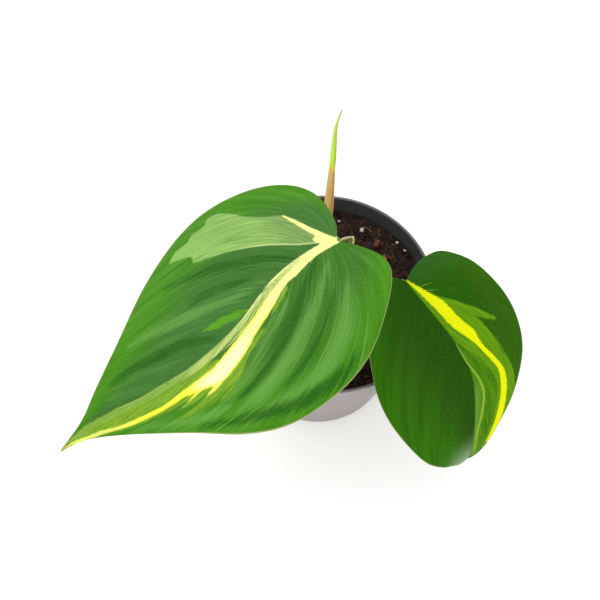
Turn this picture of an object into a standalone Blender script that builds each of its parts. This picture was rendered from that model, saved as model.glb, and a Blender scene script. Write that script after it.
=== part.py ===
"""A potted philodendron: a rooted cutting with two heart-shaped leaves and a new spear.

The plant stands in a thin round nursery pot. Metres, +Z up. The origin is the centre of the
pot's underside, and -Y is the front, the side that both leaves lean towards.
"""

import math
import random

import bpy
import bmesh
from mathutils import Matrix, Vector

MM = 0.001
GAP = 0.3 * MM  # clearance between pieces that touch each other
CURVE_STEPS = 16  # fine steps between two points of a smooth path

# Pot: a thin tapered wall with a small bead at the rim and a flat, drained floor.
POT_HEIGHT = 68 * MM
RIM_RADIUS = 45 * MM
BASE_RADIUS = 33 * MM
POT_WALL = 0.9 * MM
POT_FLOOR = 1.5 * MM
BEAD_REACH = 0.5 * MM
BEAD_HEIGHT = 1.8 * MM
BASE_CHAMFER = 0.8 * MM
POT_SIDES = 64
HOLE_COUNT = 6
HOLE_SIDES = 20
HOLE_RADIUS = 3.5 * MM
HOLE_CIRCLE = 21 * MM
FIRST_HOLE = math.radians(-68)
DRAIN_GROOVE_WIDTH = 4 * MM
DRAIN_GROOVE_DEPTH = 0.7 * MM

# Soil: fills the pot to a little below the rim, with a gently uneven top.
RIM_TO_SOIL = 7 * MM
SOIL_WAVE = 0.6 * MM
SOIL_WAVE_LENGTH = 26 * MM
SOIL_WAVE_PHASE = 1.0
SOIL_SIDES = 48
SOIL_RINGS = 7

# Old stem: the cutting that was planted. It stands behind the pot's axis and ends in a clean cut.
STEM_SITE = Vector((3.6 * MM, 12.5 * MM))
STEM_BURIED = 26 * MM
STEM_STANDS = 18 * MM
STEM_LEAN = Vector((1.2 * MM, 4.6 * MM))
STEM_RADIUS = 2.5 * MM
STEM_NODE_SWELL = 1.12
STEM_PROFILE = (0.88, 1.0, 1.0, STEM_NODE_SWELL, 0.96, 0.92, 0.96)
STEM_BOW = 0.12
STEM_SIDES = 16

# Shoot: the side growth of the old stem, which carries the leaves and the spear.
SHOOT_START = 5 * MM
SHOOT_HEIGHT = 17.5 * MM
SHOOT_RADIUS = 2.1 * MM
SHOOT_NODE_SWELL = 1.22
SHOOT_PROFILE = (0.72, 0.95, 1.12, 0.95, SHOOT_NODE_SWELL)
SHOOT_SIDE = Vector((-1, 0.1, 0)).normalized()
SHOOT_FOOT_OUT = 0.55
SHOOT_BEND_AT = 0.4
SHOOT_BOW = 0.7
SHOOT_DRIFT = Vector((-3.2 * MM, 1.2 * MM))

# Roots: from the buried end of the old stem out towards the pot's wall and floor.
ROOT_HEADINGS = (20, 95, 165, 235, 310)
ROOT_RADIUS = 1.0 * MM
ROOT_TIP_RADIUS = 0.5 * MM
ROOT_REACH = 0.72
ROOT_DEPTHS = (0.80, 0.45)  # shares of the buried length where the first and last root leave
ROOT_END_HEIGHTS = (0.22, 0.34, 0.46)  # shares of that height where a root ends, in turn
ROOT_ARCH = 0.08
ROOT_SWAY = 3
ROOT_SIDES = 8

# Leaves. Heights are above the soil. The attachment is where a blade joins its stalk.
BLADE_THICKNESS = 0.8 * MM
LARGE_ATTACH = Vector((1.0 * MM, -12.4 * MM, 69 * MM))
SMALL_ATTACH_INSIDE_RIM = 15.5 * MM
SMALL_ATTACH_HEADING = math.radians(-9.4)
SMALL_ATTACH_HEIGHT = 34 * MM
STALK_RADIUS = 1.25 * MM
STALK_BASE_RADIUS = 1.5 * MM
STALK_TIP_RADIUS = 0.5 * MM
STALK_UNDER_BLADE = 7 * MM
STALK_STANDS_OFF = 1.15
STALK_TIP_STANDS_OFF = 1.5
STALK_SIDES = 12

# Each bend of a stalk: share of the way to its blade, and the step aside in millimetres.
LARGE_STALK_BENDS = ((0.25, (-0.8, 4.0, 0)), (0.60, (-2.4, 4.6, 0)), (0.86, (-1.4, 2.2, 0)))
SMALL_STALK_BENDS = ((0.30, (0, 0, -4.5)), (0.66, (-1.5, -2.4, -6.5)), (0.90, (-1.2, -1.6, -4.0)))
SMALL_STALK_FROM = 0.48
SMALL_STALK_LEAVES = Vector((0.45, -0.89, 0.1))

# Spear: a papery sheath with the next leaf rolled up inside it.
SHEATH_LENGTH = 42 * MM
SHEATH_RADIUS = 1.85 * MM
SHEATH_MOUTH_RADIUS = 1.2 * MM
SHEATH_WALL = 0.2 * MM
SHEATH_PROFILE = (0.80, 0.92, 1.0, 0.92, 0.76)
SHEATH_SIDES = 14
ROLLED_LEAF_SHOWS = 29.5 * MM
ROLLED_LEAF_TIP_RADIUS = 0.25 * MM
SPEAR_LEAN = Vector((-0.035, 0.10))
SPEAR_TIP_HOOK = 1.6 * MM
SPEAR_HOOKS_FROM = 0.82
SHEATH_STATIONS = 12
ROLLED_LEAF_STATIONS = 22

# Each leaf's outline is two lists of (share of the length, share of that half's width), from the
# attachment round the lobe to the tip, which are left out. The midrib is in shares of the length.
LARGE_LEAF = {
    "length": 122 * MM,
    "left_width": 44 * MM,
    "right_width": 44 * MM,
    "heading": 222,
    "pitch": 12,
    "roll": 6,
    "bend": 14,
    "curl": 10,
    "curl_from": 0.70,
    "fold": 2.5 * MM,
    "fold_width": 7 * MM,
    "left_droop": 4.0,
    "right_droop": 4.0,
    "lobe_droop": 3.0,
    "tip": (1.0, 0.0),
    "midrib": ((0.13, -0.008), (0.25, 0.008), (0.45, 0.050), (0.61, 0.056), (0.76, 0.034), (0.88, 0.010)),
    "left": (
        (-0.036, 0.14), (-0.075, 0.36), (-0.057, 0.53), (0.023, 0.74), (0.12, 0.91), (0.24, 1.00),
        (0.39, 1.00), (0.51, 0.87), (0.64, 0.60), (0.81, 0.26), (0.91, 0.09),
    ),
    "right": (
        (-0.031, 0.16), (-0.033, 0.47), (0.02, 0.73), (0.12, 0.91), (0.26, 1.00), (0.39, 0.94),
        (0.53, 0.74), (0.69, 0.40), (0.81, 0.18), (0.89, 0.06),
    ),
}
SMALL_LEAF = {
    "length": 86 * MM,
    "left_width": 36 * MM,
    "right_width": 27.5 * MM,
    "heading": 309,
    "pitch": 21,
    "roll": 3,
    "bend": 32,
    "curl": 62,
    "curl_from": 0.70,
    "fold": 2.0 * MM,
    "fold_width": 6 * MM,
    "left_droop": 5.0,
    "right_droop": 7.0,
    "lobe_droop": 4.0,
    "tip": (1.0, -0.03),
    "midrib": ((0.13, 0.032), (0.28, 0.070), (0.44, 0.096), (0.58, 0.088), (0.72, 0.044), (0.86, -0.008)),
    "left": (
        (-0.044, 0.17), (-0.060, 0.36), (-0.040, 0.55), (0.06, 0.80), (0.22, 0.96), (0.37, 1.00),
        (0.53, 0.915), (0.69, 0.645), (0.80, 0.345), (0.90, 0.10),
    ),
    "right": (
        (-0.045, 0.16), (-0.070, 0.36), (-0.030, 0.62), (0.09, 0.82), (0.24, 0.90), (0.41, 0.99),
        (0.56, 0.985), (0.70, 0.895), (0.82, 0.745), (0.885, 0.54), (0.92, 0.34),
    ),
}
BLADE_VEINS = 26
BLADE_STEPS = 12
VEIN_SLANT = 3.0
VEIN_BOW = 0.26
SINUS_SHARE = 0.10  # share of a margin, from the attachment, that the first line follows
BOW_STARTS = 0.25
SINUS_FADE = 6
SPINE_STEPS = 80

# Loose pieces on the soil: (share of the soil's radius, heading in degrees, size).
PERLITE = (
    (0.87, 89, 2.0 * MM), (0.84, 72, 2.6 * MM), (0.96, 42, 1.8 * MM), (0.95, 49, 2.0 * MM),
    (0.72, 50, 1.6 * MM), (0.60, 118, 2.2 * MM), (0.75, 160, 2.4 * MM), (0.50, 205, 2.0 * MM),
    (0.82, 232, 2.2 * MM), (0.66, 290, 1.8 * MM), (0.88, 318, 2.4 * MM), (0.42, 340, 2.0 * MM),
)
BARK = (
    (0.80, 58, 4.2 * MM), (0.62, 75, 3.6 * MM), (0.90, 100, 3.8 * MM), (0.70, 140, 4.4 * MM),
    (0.84, 185, 4.0 * MM), (0.60, 250, 4.6 * MM), (0.80, 300, 4.0 * MM), (0.72, 12, 4.2 * MM),
)
PERLITE_DENTS = (0.82, 1.0)
PERLITE_WIDTH = (0.75, 0.95)
PERLITE_HEIGHT = (0.70, 0.90)
BARK_WIDTH = 0.55
BARK_THICKNESS = 0.30
BARK_EDGE = 0.06
BARK_WEAR = (0.90, 1.0)

# Values worked out from the ones above.
SOIL_TOP = POT_HEIGHT - RIM_TO_SOIL
SOIL_BOTTOM = POT_FLOOR + GAP


def clear_scene():
    for thing in list(bpy.data.objects):
        bpy.data.objects.remove(thing, do_unlink=True)


def material(name, colour, roughness, metallic=0.0):
    made = bpy.data.materials.new(name)
    made.use_nodes = True
    shader = made.node_tree.nodes["Principled BSDF"]
    shader.inputs["Base Color"].default_value = (*colour, 1.0)
    shader.inputs["Roughness"].default_value = roughness
    shader.inputs["Metallic"].default_value = metallic
    return made


def add_object(name, bm, finish=None, sharp=math.radians(40)):
    """Turn a bmesh into a named object with one material and smooth shading."""
    bmesh.ops.recalc_face_normals(bm, faces=bm.faces)
    if bm.calc_volume(signed=True) < 0:
        bmesh.ops.reverse_faces(bm, faces=bm.faces)
    mesh = bpy.data.meshes.new(name)
    bm.to_mesh(mesh)
    bm.free()
    mesh.shade_smooth()
    mesh.set_sharp_from_angle(angle=sharp)
    if finish:
        mesh.materials.append(finish)
    made = bpy.data.objects.new(name, mesh)
    bpy.context.scene.collection.objects.link(made)
    return made


def cut(target, cutter):
    """Subtract a hidden cutter from a piece."""
    cutter.hide_render = True
    cutter.display_type = "WIRE"
    tool = target.modifiers.new(cutter.name, "BOOLEAN")
    tool.operation = "DIFFERENCE"
    tool.solver = "EXACT"
    tool.object = cutter


def smooth_path(points, count):
    """Evenly spaced points on a Catmull-Rom curve through the given points."""
    ends = [2 * points[0] - points[1], *points, 2 * points[-1] - points[-2]]
    dense = []
    for i in range(len(points) - 1):
        a, b, c, d = ends[i:i + 4]
        for k in range(CURVE_STEPS):
            t = k / CURVE_STEPS
            dense.append(0.5 * (2 * b + (c - a) * t + (2 * a - 5 * b + 4 * c - d) * t ** 2
                                + (3 * b - a - 3 * c + d) * t ** 3))
    dense.append(points[-1].copy())
    travelled = [0.0]
    for before, after in zip(dense, dense[1:]):
        travelled.append(travelled[-1] + (after - before).length)
    path = []
    at = 0
    for k in range(count):
        goal = travelled[-1] * k / (count - 1)
        while at < len(dense) - 2 and travelled[at + 1] < goal:
            at += 1
        span = travelled[at + 1] - travelled[at]
        share = (goal - travelled[at]) / span
        path.append(dense[at].lerp(dense[at + 1], min(max(share, 0.0), 1.0)))
    return path


def stations(path):
    """A placement matrix at each point of a path, its Z along the path, without twist."""
    placed = []
    turn = None
    for i, point in enumerate(path):
        ahead = path[min(i + 1, len(path) - 1)] - path[max(i - 1, 0)]
        if turn is None:
            turn = ahead.to_track_quat("Z", "Y")
        else:
            turn = (turn @ Vector((0, 0, 1))).rotation_difference(ahead) @ turn
        placed.append(Matrix.Translation(point) @ turn.to_matrix().to_4x4())
    return placed


def blend(values, count):
    """Spread a few values evenly over a number of stations."""
    spread = []
    for k in range(count):
        at = k / (count - 1) * (len(values) - 1)
        low = min(int(at), len(values) - 2)
        spread.append(values[low] + (values[low + 1] - values[low]) * (at - low))
    return spread


def loft(bm, placed, radii, sides):
    """Draw a circle at the first station and extrude it through the others, with flat ends."""
    sized = [place @ Matrix.Scale(radius, 4) for place, radius in zip(placed, radii)]
    bmesh.ops.create_circle(bm, cap_ends=True, segments=sides, radius=1.0, matrix=sized[0])
    edges = bm.edges[:]
    for before, after in zip(sized, sized[1:]):
        made = bmesh.ops.extrude_edge_only(bm, edges=edges)["geom"]
        ring = {part for part in made if isinstance(part, bmesh.types.BMVert)}
        edges = [part for part in made if isinstance(part, bmesh.types.BMEdge) and ring.issuperset(part.verts)]
        bmesh.ops.transform(bm, matrix=after @ before.inverted(), verts=list(ring))
    bmesh.ops.edgeloop_fill(bm, edges=edges)


def tube(name, path, radii, sides, finish):
    bm = bmesh.new()
    loft(bm, stations(path), blend(radii, len(path)), sides)
    return add_object(name, bm, finish)


def grown(radii, extra):
    return [radius + extra for radius in radii]


def sleeve(name, path, radii, sides):
    """A cutter that clears a tube by the gap, all round it and past both of its ends."""
    before = path[0] + (path[0] - path[1]).normalized() * GAP
    after = path[-1] + (path[-1] - path[-2]).normalized() * GAP
    wide = grown(blend(radii, len(path)), GAP)
    bm = bmesh.new()
    loft(bm, stations([before, *path, after]), [wide[0], *wide, wide[-1]], sides)
    return add_object(name, bm)


def outer_radius(z):
    """Radius of the pot's outer wall at a height, under the bead."""
    foot, top = BASE_RADIUS, RIM_RADIUS - BEAD_REACH
    return foot + (top - foot) * z / POT_HEIGHT


def inner_radius(z):
    return outer_radius(z) - POT_WALL


def turned(profile, sides):
    """Spin a profile of (radius, height) points about Z into a closed round body."""
    bm = bmesh.new()
    corners = [bm.verts.new((radius, 0.0, height)) for radius, height in profile]
    edges = [bm.edges.new(pair) for pair in zip(corners, corners[1:])]
    bmesh.ops.spin(bm, geom=corners + edges, cent=(0, 0, 0), axis=(0, 0, 1),
                   angle=math.tau, steps=sides, use_merge=True)
    bmesh.ops.remove_doubles(bm, verts=bm.verts, dist=0.00001)
    return bm


def make_pot():
    shoulder = POT_HEIGHT - BEAD_HEIGHT
    round_off = BEAD_REACH
    profile = (
        (0.0, 0.0),
        (BASE_RADIUS - BASE_CHAMFER, 0.0),
        (outer_radius(BASE_CHAMFER), BASE_CHAMFER),
        (outer_radius(shoulder - BEAD_REACH), shoulder - BEAD_REACH),
        (RIM_RADIUS, shoulder),
        (RIM_RADIUS, POT_HEIGHT - round_off),
        (RIM_RADIUS - round_off, POT_HEIGHT),
        (inner_radius(POT_HEIGHT) + round_off, POT_HEIGHT),
        (inner_radius(POT_HEIGHT), POT_HEIGHT - round_off),
        (inner_radius(POT_FLOOR), POT_FLOOR),
        (0.0, POT_FLOOR),
    )
    pot = add_object("pot", turned(profile, POT_SIDES), material("pot_plastic", (0.30, 0.27, 0.27), 0.55))
    cut(pot, hole_cutter())
    cut(pot, groove_cutter())


def hole_headings():
    return [FIRST_HOLE + math.tau * k / HOLE_COUNT for k in range(HOLE_COUNT)]


def hole_cutter():
    bm = bmesh.new()
    for heading in hole_headings():
        place = Matrix.Rotation(heading, 4, "Z") @ Matrix.Translation((HOLE_CIRCLE, 0, 0))
        bmesh.ops.create_cone(bm, cap_ends=True, segments=HOLE_SIDES, radius1=HOLE_RADIUS,
                              radius2=HOLE_RADIUS, depth=4 * POT_FLOOR, matrix=place)
    return add_object("hole_cutter", bm)


def groove_cutter():
    """Shallow channels under the floor, from each hole out through the foot of the wall."""
    bm = bmesh.new()
    reach = BASE_RADIUS + POT_FLOOR - HOLE_CIRCLE
    for heading in hole_headings():
        size = Matrix.Diagonal((reach, DRAIN_GROOVE_WIDTH, 2 * DRAIN_GROOVE_DEPTH, 1))
        place = Matrix.Rotation(heading, 4, "Z") @ Matrix.Translation((HOLE_CIRCLE + reach / 2, 0, 0))
        bmesh.ops.create_cube(bm, size=1.0, matrix=place @ size)
    return add_object("groove_cutter", bm)


def soil_radius(z):
    return inner_radius(z) - GAP


def soil_height(x, y):
    """Height of the soil's surface, a gentle roll about its mean level."""
    turn = math.tau / SOIL_WAVE_LENGTH
    return SOIL_TOP + SOIL_WAVE * math.sin(turn * x + SOIL_WAVE_PHASE) * math.cos(turn * y)


def make_soil(finish, stem_path, root_paths):
    top = soil_radius(SOIL_TOP)
    profile = [(0.0, SOIL_BOTTOM), (soil_radius(SOIL_BOTTOM), SOIL_BOTTOM)]
    profile += [(top * (1 - k / SOIL_RINGS), SOIL_TOP) for k in range(SOIL_RINGS + 1)]
    bm = turned(profile, SOIL_SIDES)
    for vert in bm.verts:
        if vert.co.z > SOIL_TOP - GAP and vert.co.xy.length < top - GAP:
            vert.co.z = soil_height(vert.co.x, vert.co.y)
    soil = add_object("soil", bm, finish)
    cut(soil, sleeve("stem_socket", stem_path, stem_radii(), STEM_SIDES))
    for i, path in enumerate(root_paths):
        inside_stem = path[0] + (path[0] - path[1])
        cut(soil, sleeve(f"root_hollow_{i + 1}", [inside_stem, *path], root_radii(), ROOT_SIDES))


def stem_path():
    """The old stem's centre line, from its buried end to its cut top."""
    foot = Vector((*STEM_SITE, SOIL_TOP - STEM_BURIED))
    ground = Vector((*STEM_SITE, SOIL_TOP))
    cut_top = Vector((*(STEM_SITE + STEM_LEAN), SOIL_TOP + STEM_STANDS))
    middle = ground.lerp(cut_top, 0.5) - Vector((*STEM_LEAN, 0)) * STEM_BOW
    return smooth_path([foot, ground, middle, cut_top], 13)


def stem_radii():
    return [STEM_RADIUS * share for share in STEM_PROFILE]


def on_stem(path, z):
    """The point of a rising path at a height."""
    for low, high in zip(path, path[1:]):
        if low.z <= z <= high.z:
            return low.lerp(high, (z - low.z) / (high.z - low.z))
    return path[-1].copy()


def root_radii():
    return [ROOT_RADIUS, ROOT_RADIUS * 0.9, ROOT_TIP_RADIUS]


def root_path(stem, index):
    """A root that leaves the stem's side, drops, and spreads towards the pot's wall."""
    heading = math.radians(ROOT_HEADINGS[index])
    out = Vector((math.cos(heading), math.sin(heading), 0))
    depth = blend(ROOT_DEPTHS, len(ROOT_HEADINGS))[index]
    leaves_at = SOIL_TOP - STEM_BURIED * depth
    start = on_stem(stem, leaves_at) + out * (STEM_RADIUS * STEM_NODE_SWELL + GAP * 3)
    end_z = SOIL_BOTTOM + (leaves_at - SOIL_BOTTOM) * ROOT_END_HEIGHTS[index % len(ROOT_END_HEIGHTS)]
    end = out * soil_radius(end_z) * ROOT_REACH
    end.z = end_z
    sway = Vector((-out.y, out.x, 0)) * ROOT_RADIUS * (ROOT_SWAY if index % 2 else -ROOT_SWAY)
    near = start.lerp(end, 0.25) + Vector((0, 0, (start.z - end.z) * ROOT_ARCH))
    far = start.lerp(end, 0.65) + sway
    return smooth_path([start, near, far, end], 9)


def shoot_path(stem):
    """The shoot leaves the old stem's left side just above the soil and turns upright."""
    start_z = SOIL_TOP + SHOOT_START
    stands_off = STEM_RADIUS * STEM_NODE_SWELL + GAP + SHOOT_RADIUS * SHOOT_FOOT_OUT
    start = on_stem(stem, start_z) + SHOOT_SIDE * stands_off
    top = Vector((*(start.xy + SHOOT_DRIFT), start_z + SHOOT_HEIGHT))
    middle = start.lerp(top, SHOOT_BEND_AT) + SHOOT_SIDE * SHOOT_RADIUS * SHOOT_BOW
    return smooth_path([start, middle, top], 9)


def shoot_radii():
    return [SHOOT_RADIUS * share for share in SHOOT_PROFILE]


def leaf_frame(leaf, attach):
    """The leaf's own axes: X along its midrib, Y to its left, Z out of its upper face."""
    turn = (Matrix.Rotation(math.radians(leaf["heading"]), 4, "Z")
            @ Matrix.Rotation(math.radians(leaf["pitch"]), 4, "Y")
            @ Matrix.Rotation(math.radians(leaf["roll"]), 4, "X"))
    return Matrix.Translation(attach) @ turn


def spine(leaf):
    """Stations along the arched midrib line: (distance forward, height, slope)."""
    bend, curl = math.radians(leaf["bend"]), math.radians(leaf["curl"])
    step = leaf["length"] / SPINE_STEPS
    forward = height = 0.0
    line = []
    for k in range(SPINE_STEPS + 2):
        share = k / SPINE_STEPS
        curled = max(0.0, (share - leaf["curl_from"]) / (1 - leaf["curl_from"]))
        slope = bend * share + curl * curled ** 2
        line.append((forward, height, slope))
        forward += step * math.cos(slope)
        height -= step * math.sin(slope)
    return line


def outline(leaf, side, count):
    """Points on one half's margin, from the attachment to the tip, evenly spaced."""
    width = leaf[side + "_width"] * (1 if side == "left" else -1)
    points = [Vector((0, 0))]
    points += [Vector((x * leaf["length"], y * width)) for x, y in leaf[side]]
    points.append(Vector(leaf["tip"]) * leaf["length"])
    return smooth_path(points, count)


def midrib_line(leaf):
    points = [Vector((0, 0))]
    points += [Vector(point) * leaf["length"] for point in leaf["midrib"]]
    points.append(Vector(leaf["tip"]) * leaf["length"])
    return smooth_path(points, SPINE_STEPS + 1)


def midrib_side(line, x):
    """How far to its left the midrib runs at a distance along the leaf."""
    for low, high in zip(line, line[1:]):
        if low.x <= x <= high.x:
            return low.y + (high.y - low.y) * (x - low.x) / (high.x - low.x)
    return 0.0 if x < 0 else line[-1].y


def blade_point(leaf, line, rib, flat):
    """Where a point of the flat leaf lies once the blade is folded, drooped and arched."""
    beside = flat.y - midrib_side(rib, flat.x)
    droop = leaf["left_droop"] if beside > 0 else leaf["right_droop"]
    lift = leaf["fold"] * (1 - math.exp(-abs(beside) / leaf["fold_width"])) - droop * beside ** 2 + flat.z
    if flat.x < 0:
        return Vector((flat.x, flat.y, lift - leaf["lobe_droop"] * flat.x ** 2))
    at = min(flat.x / leaf["length"] * SPINE_STEPS, SPINE_STEPS)
    low = int(at)
    ahead = [a + (b - a) * (at - low) for a, b in zip(line[low], line[low + 1])]
    forward, height, slope = ahead
    return Vector((forward + lift * math.sin(slope), flat.y, height + lift * math.cos(slope)))


def along(path, share):
    """The point at a share of an evenly spaced path."""
    at = share * (len(path) - 1)
    low = min(int(at), len(path) - 2)
    return path[low].lerp(path[low + 1], at - low)


def flat_blade(u, v, margins, rib):
    """The flat leaf's point on line u (0 beside the sinus, 1 the tip) at v (-1 right to 1 left margin).

    Each line runs from the midrib to the margin, bowed outwards as a side vein is. The first
    line follows the margin itself, so that nothing folds over beside the attachment.
    """
    margin = margins["left" if v > 0 else "right"]
    share = abs(v)
    start = along(rib, u ** VEIN_SLANT)
    across = along(margin, SINUS_SHARE + (1 - SINUS_SHARE) * u) - start
    outwards = Vector((-abs(across.y), across.x * math.copysign(1, across.y)))
    bow = 2 * share * (1 - share) * VEIN_BOW * min(u / BOW_STARTS, 1.0)
    sinus = along(margin, SINUS_SHARE * share) - along(margin, SINUS_SHARE) * share
    return start + across * share + outwards * bow + sinus * (1 - u) ** SINUS_FADE


def make_blade(name, leaf, attach, finish):
    """A flat plate cut to the leaf's outline, with its mesh lines along the veins, then bent."""
    bm = bmesh.new()
    bmesh.ops.create_grid(bm, x_segments=BLADE_VEINS, y_segments=BLADE_STEPS, size=1.0)
    margins = {side: outline(leaf, side, 4 * BLADE_VEINS + 1) for side in ("left", "right")}
    rib = midrib_line(leaf)
    for vert in bm.verts:
        flat = flat_blade((vert.co.x + 1) / 2, vert.co.y, margins, rib)
        vert.co = (*flat, -BLADE_THICKNESS / 2)
    bmesh.ops.remove_doubles(bm, verts=bm.verts, dist=0.00005)
    made = bmesh.ops.extrude_face_region(bm, geom=bm.faces[:], use_keep_orig=True)["geom"]
    upper = [part for part in made if isinstance(part, bmesh.types.BMVert)]
    bmesh.ops.translate(bm, vec=(0, 0, BLADE_THICKNESS), verts=upper)
    line = spine(leaf)
    place = leaf_frame(leaf, attach)
    for vert in bm.verts:
        vert.co = place @ blade_point(leaf, line, rib, vert.co)
    return add_object(name, bm, finish)


def stalk_end(leaf, attach):
    """Where a stalk runs in under its blade: below the attachment, then below the midrib."""
    place = leaf_frame(leaf, attach)
    under = BLADE_THICKNESS / 2 + GAP
    first = place @ Vector((0, 0, -(under + STALK_RADIUS) * STALK_STANDS_OFF))
    tip = place @ Vector((STALK_UNDER_BLADE, 0, -(under + STALK_TIP_RADIUS) * STALK_TIP_STANDS_OFF))
    return [first, tip]


def make_stalk(name, leaf, attach, start, bends, finish):
    """A leaf stalk from the shoot, through its bends, to the underside of its blade."""
    path = smooth_path([start, *bends, *stalk_end(leaf, attach)], 19)
    radii = (STALK_BASE_RADIUS, STALK_RADIUS, STALK_RADIUS, STALK_RADIUS, STALK_RADIUS,
             STALK_RADIUS, STALK_RADIUS, STALK_TIP_RADIUS)
    return tube(name, path, radii, STALK_SIDES, finish)


def large_attach():
    return LARGE_ATTACH + Vector((0, 0, SOIL_TOP))


def small_attach():
    reach = RIM_RADIUS - SMALL_ATTACH_INSIDE_RIM
    return Vector((reach * math.cos(SMALL_ATTACH_HEADING), reach * math.sin(SMALL_ATTACH_HEADING),
                   SOIL_TOP + SMALL_ATTACH_HEIGHT))


def bent(start, attach, bends):
    """Bends of a stalk: points on the straight line to the attachment, each moved aside."""
    return [start.lerp(attach, share) + Vector(aside) * MM for share, aside in bends]


def make_leaves(shoot, leaf_green, stalk_green):
    make_blade("large_leaf_blade", LARGE_LEAF, large_attach(), leaf_green)
    make_blade("small_leaf_blade", SMALL_LEAF, small_attach(), leaf_green)
    start = shoot[-1] + Vector((0, -STALK_BASE_RADIUS - GAP, 2 * GAP))
    bends = bent(start, large_attach(), LARGE_STALK_BENDS)
    make_stalk("large_leaf_stalk", LARGE_LEAF, large_attach(), start, bends, stalk_green)
    joint = on_stem(shoot, shoot[0].z + SHOOT_HEIGHT * SMALL_STALK_FROM)
    start = joint + SMALL_STALK_LEAVES.normalized() * (SHOOT_RADIUS * SHOOT_NODE_SWELL + STALK_RADIUS)
    bends = bent(start, small_attach(), SMALL_STALK_BENDS)
    make_stalk("small_leaf_stalk", SMALL_LEAF, small_attach(), start, bends, stalk_green)


def spear_point(base, share):
    """The spear's centre line: it leans back, and its thin tip hooks to the right."""
    length = SHEATH_LENGTH + ROLLED_LEAF_SHOWS
    along = share * length
    hook = SPEAR_TIP_HOOK * max(0.0, (share - SPEAR_HOOKS_FROM) / (1 - SPEAR_HOOKS_FROM)) ** 2
    lean = SPEAR_LEAN * along
    return base + Vector((lean.x + hook, lean.y, along))


def sheath_radii():
    return [*(SHEATH_RADIUS * share for share in SHEATH_PROFILE), SHEATH_MOUTH_RADIUS]


def make_spear(shoot, papery, pale_green):
    """The sheath is a thin cup, open at its mouth, and the rolled leaf fills it."""
    base = shoot[-1] + Vector((0, SHEATH_RADIUS * SHEATH_PROFILE[0] + GAP, GAP * 2))
    length = SHEATH_LENGTH + ROLLED_LEAF_SHOWS
    mouth = SHEATH_LENGTH / length
    count = SHEATH_STATIONS
    outside = [spear_point(base, mouth * k / (count - 1)) for k in range(count)]
    placed = stations(outside)
    radii = blend(sheath_radii(), count)
    inside = grown(radii, -SHEATH_WALL)
    bm = bmesh.new()
    loft(bm, placed + placed[:0:-1], radii + inside[:0:-1], SHEATH_SIDES)
    add_object("spear_sheath", bm, papery)
    steps = ROLLED_LEAF_STATIONS
    first = mouth / (count - 1) + GAP / length
    shares = [first + (1 - first) * k / (steps - 1) for k in range(steps)]
    path = [spear_point(base, share) for share in shares]
    rolled = [rolled_radius(share, mouth) for share in shares]
    bm = bmesh.new()
    loft(bm, stations(path), rolled, SHEATH_SIDES)
    add_object("rolled_leaf", bm, pale_green)


def rolled_radius(share, mouth):
    """The rolled leaf fills the sheath with a small clearance, then tapers to its tip."""
    if share <= mouth:
        return blend_at(sheath_radii(), share / mouth) - SHEATH_WALL - GAP
    free = (share - mouth) / (1 - mouth)
    full = SHEATH_MOUTH_RADIUS - SHEATH_WALL - GAP
    return full + (ROLLED_LEAF_TIP_RADIUS - full) * free


def blend_at(values, share):
    at = share * (len(values) - 1)
    low = min(int(at), len(values) - 2)
    return values[low] + (values[low + 1] - values[low]) * (at - low)


def rest_height(x, y, half):
    """The lowest a small piece can sit at a place without touching the soil."""
    around = [(x + half * dx, y + half * dy) for dx in (-1, 0, 1) for dy in (-1, 0, 1)]
    return max(soil_height(*spot) for spot in around) + GAP


def place_on_soil(share, heading, size):
    radius = min(share * soil_radius(SOIL_TOP), soil_radius(SOIL_TOP) - size / 2 - GAP)
    angle = math.radians(heading)
    return radius * math.cos(angle), radius * math.sin(angle)


def make_perlite(finish):
    chance = random.Random(11)
    for i, (share, heading, size) in enumerate(PERLITE):
        x, y = place_on_soil(share, heading, size)
        bm = bmesh.new()
        bmesh.ops.create_icosphere(bm, subdivisions=2, radius=size / 2)
        for vert in bm.verts:
            vert.co *= chance.uniform(*PERLITE_DENTS)
        squash = Vector((1.0, chance.uniform(*PERLITE_WIDTH), chance.uniform(*PERLITE_HEIGHT)))
        bmesh.ops.scale(bm, vec=squash, verts=bm.verts)
        bottom = min(vert.co.z for vert in bm.verts)
        bmesh.ops.translate(bm, vec=(x, y, rest_height(x, y, size / 2) - bottom), verts=bm.verts)
        add_object(f"perlite_{i + 1}", bm, finish)


def make_bark(finish):
    chance = random.Random(5)
    for i, (share, heading, size) in enumerate(BARK):
        x, y = place_on_soil(share, heading, size)
        bm = bmesh.new()
        shape = Matrix.Diagonal((size, size * BARK_WIDTH, size * BARK_THICKNESS, 1))
        turn = Matrix.Rotation(chance.uniform(0, math.pi), 4, "Z")
        bmesh.ops.create_cube(bm, size=1.0, matrix=turn @ shape)
        bmesh.ops.bevel(bm, geom=bm.edges, offset=size * BARK_EDGE, segments=1, profile=0.5,
                        affect="EDGES", material=-1)
        for vert in bm.verts:
            vert.co *= chance.uniform(*BARK_WEAR)
        bottom = min(vert.co.z for vert in bm.verts)
        bmesh.ops.translate(bm, vec=(x, y, rest_height(x, y, size / 2) - bottom), verts=bm.verts)
        add_object(f"bark_{i + 1}", bm, finish)


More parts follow.
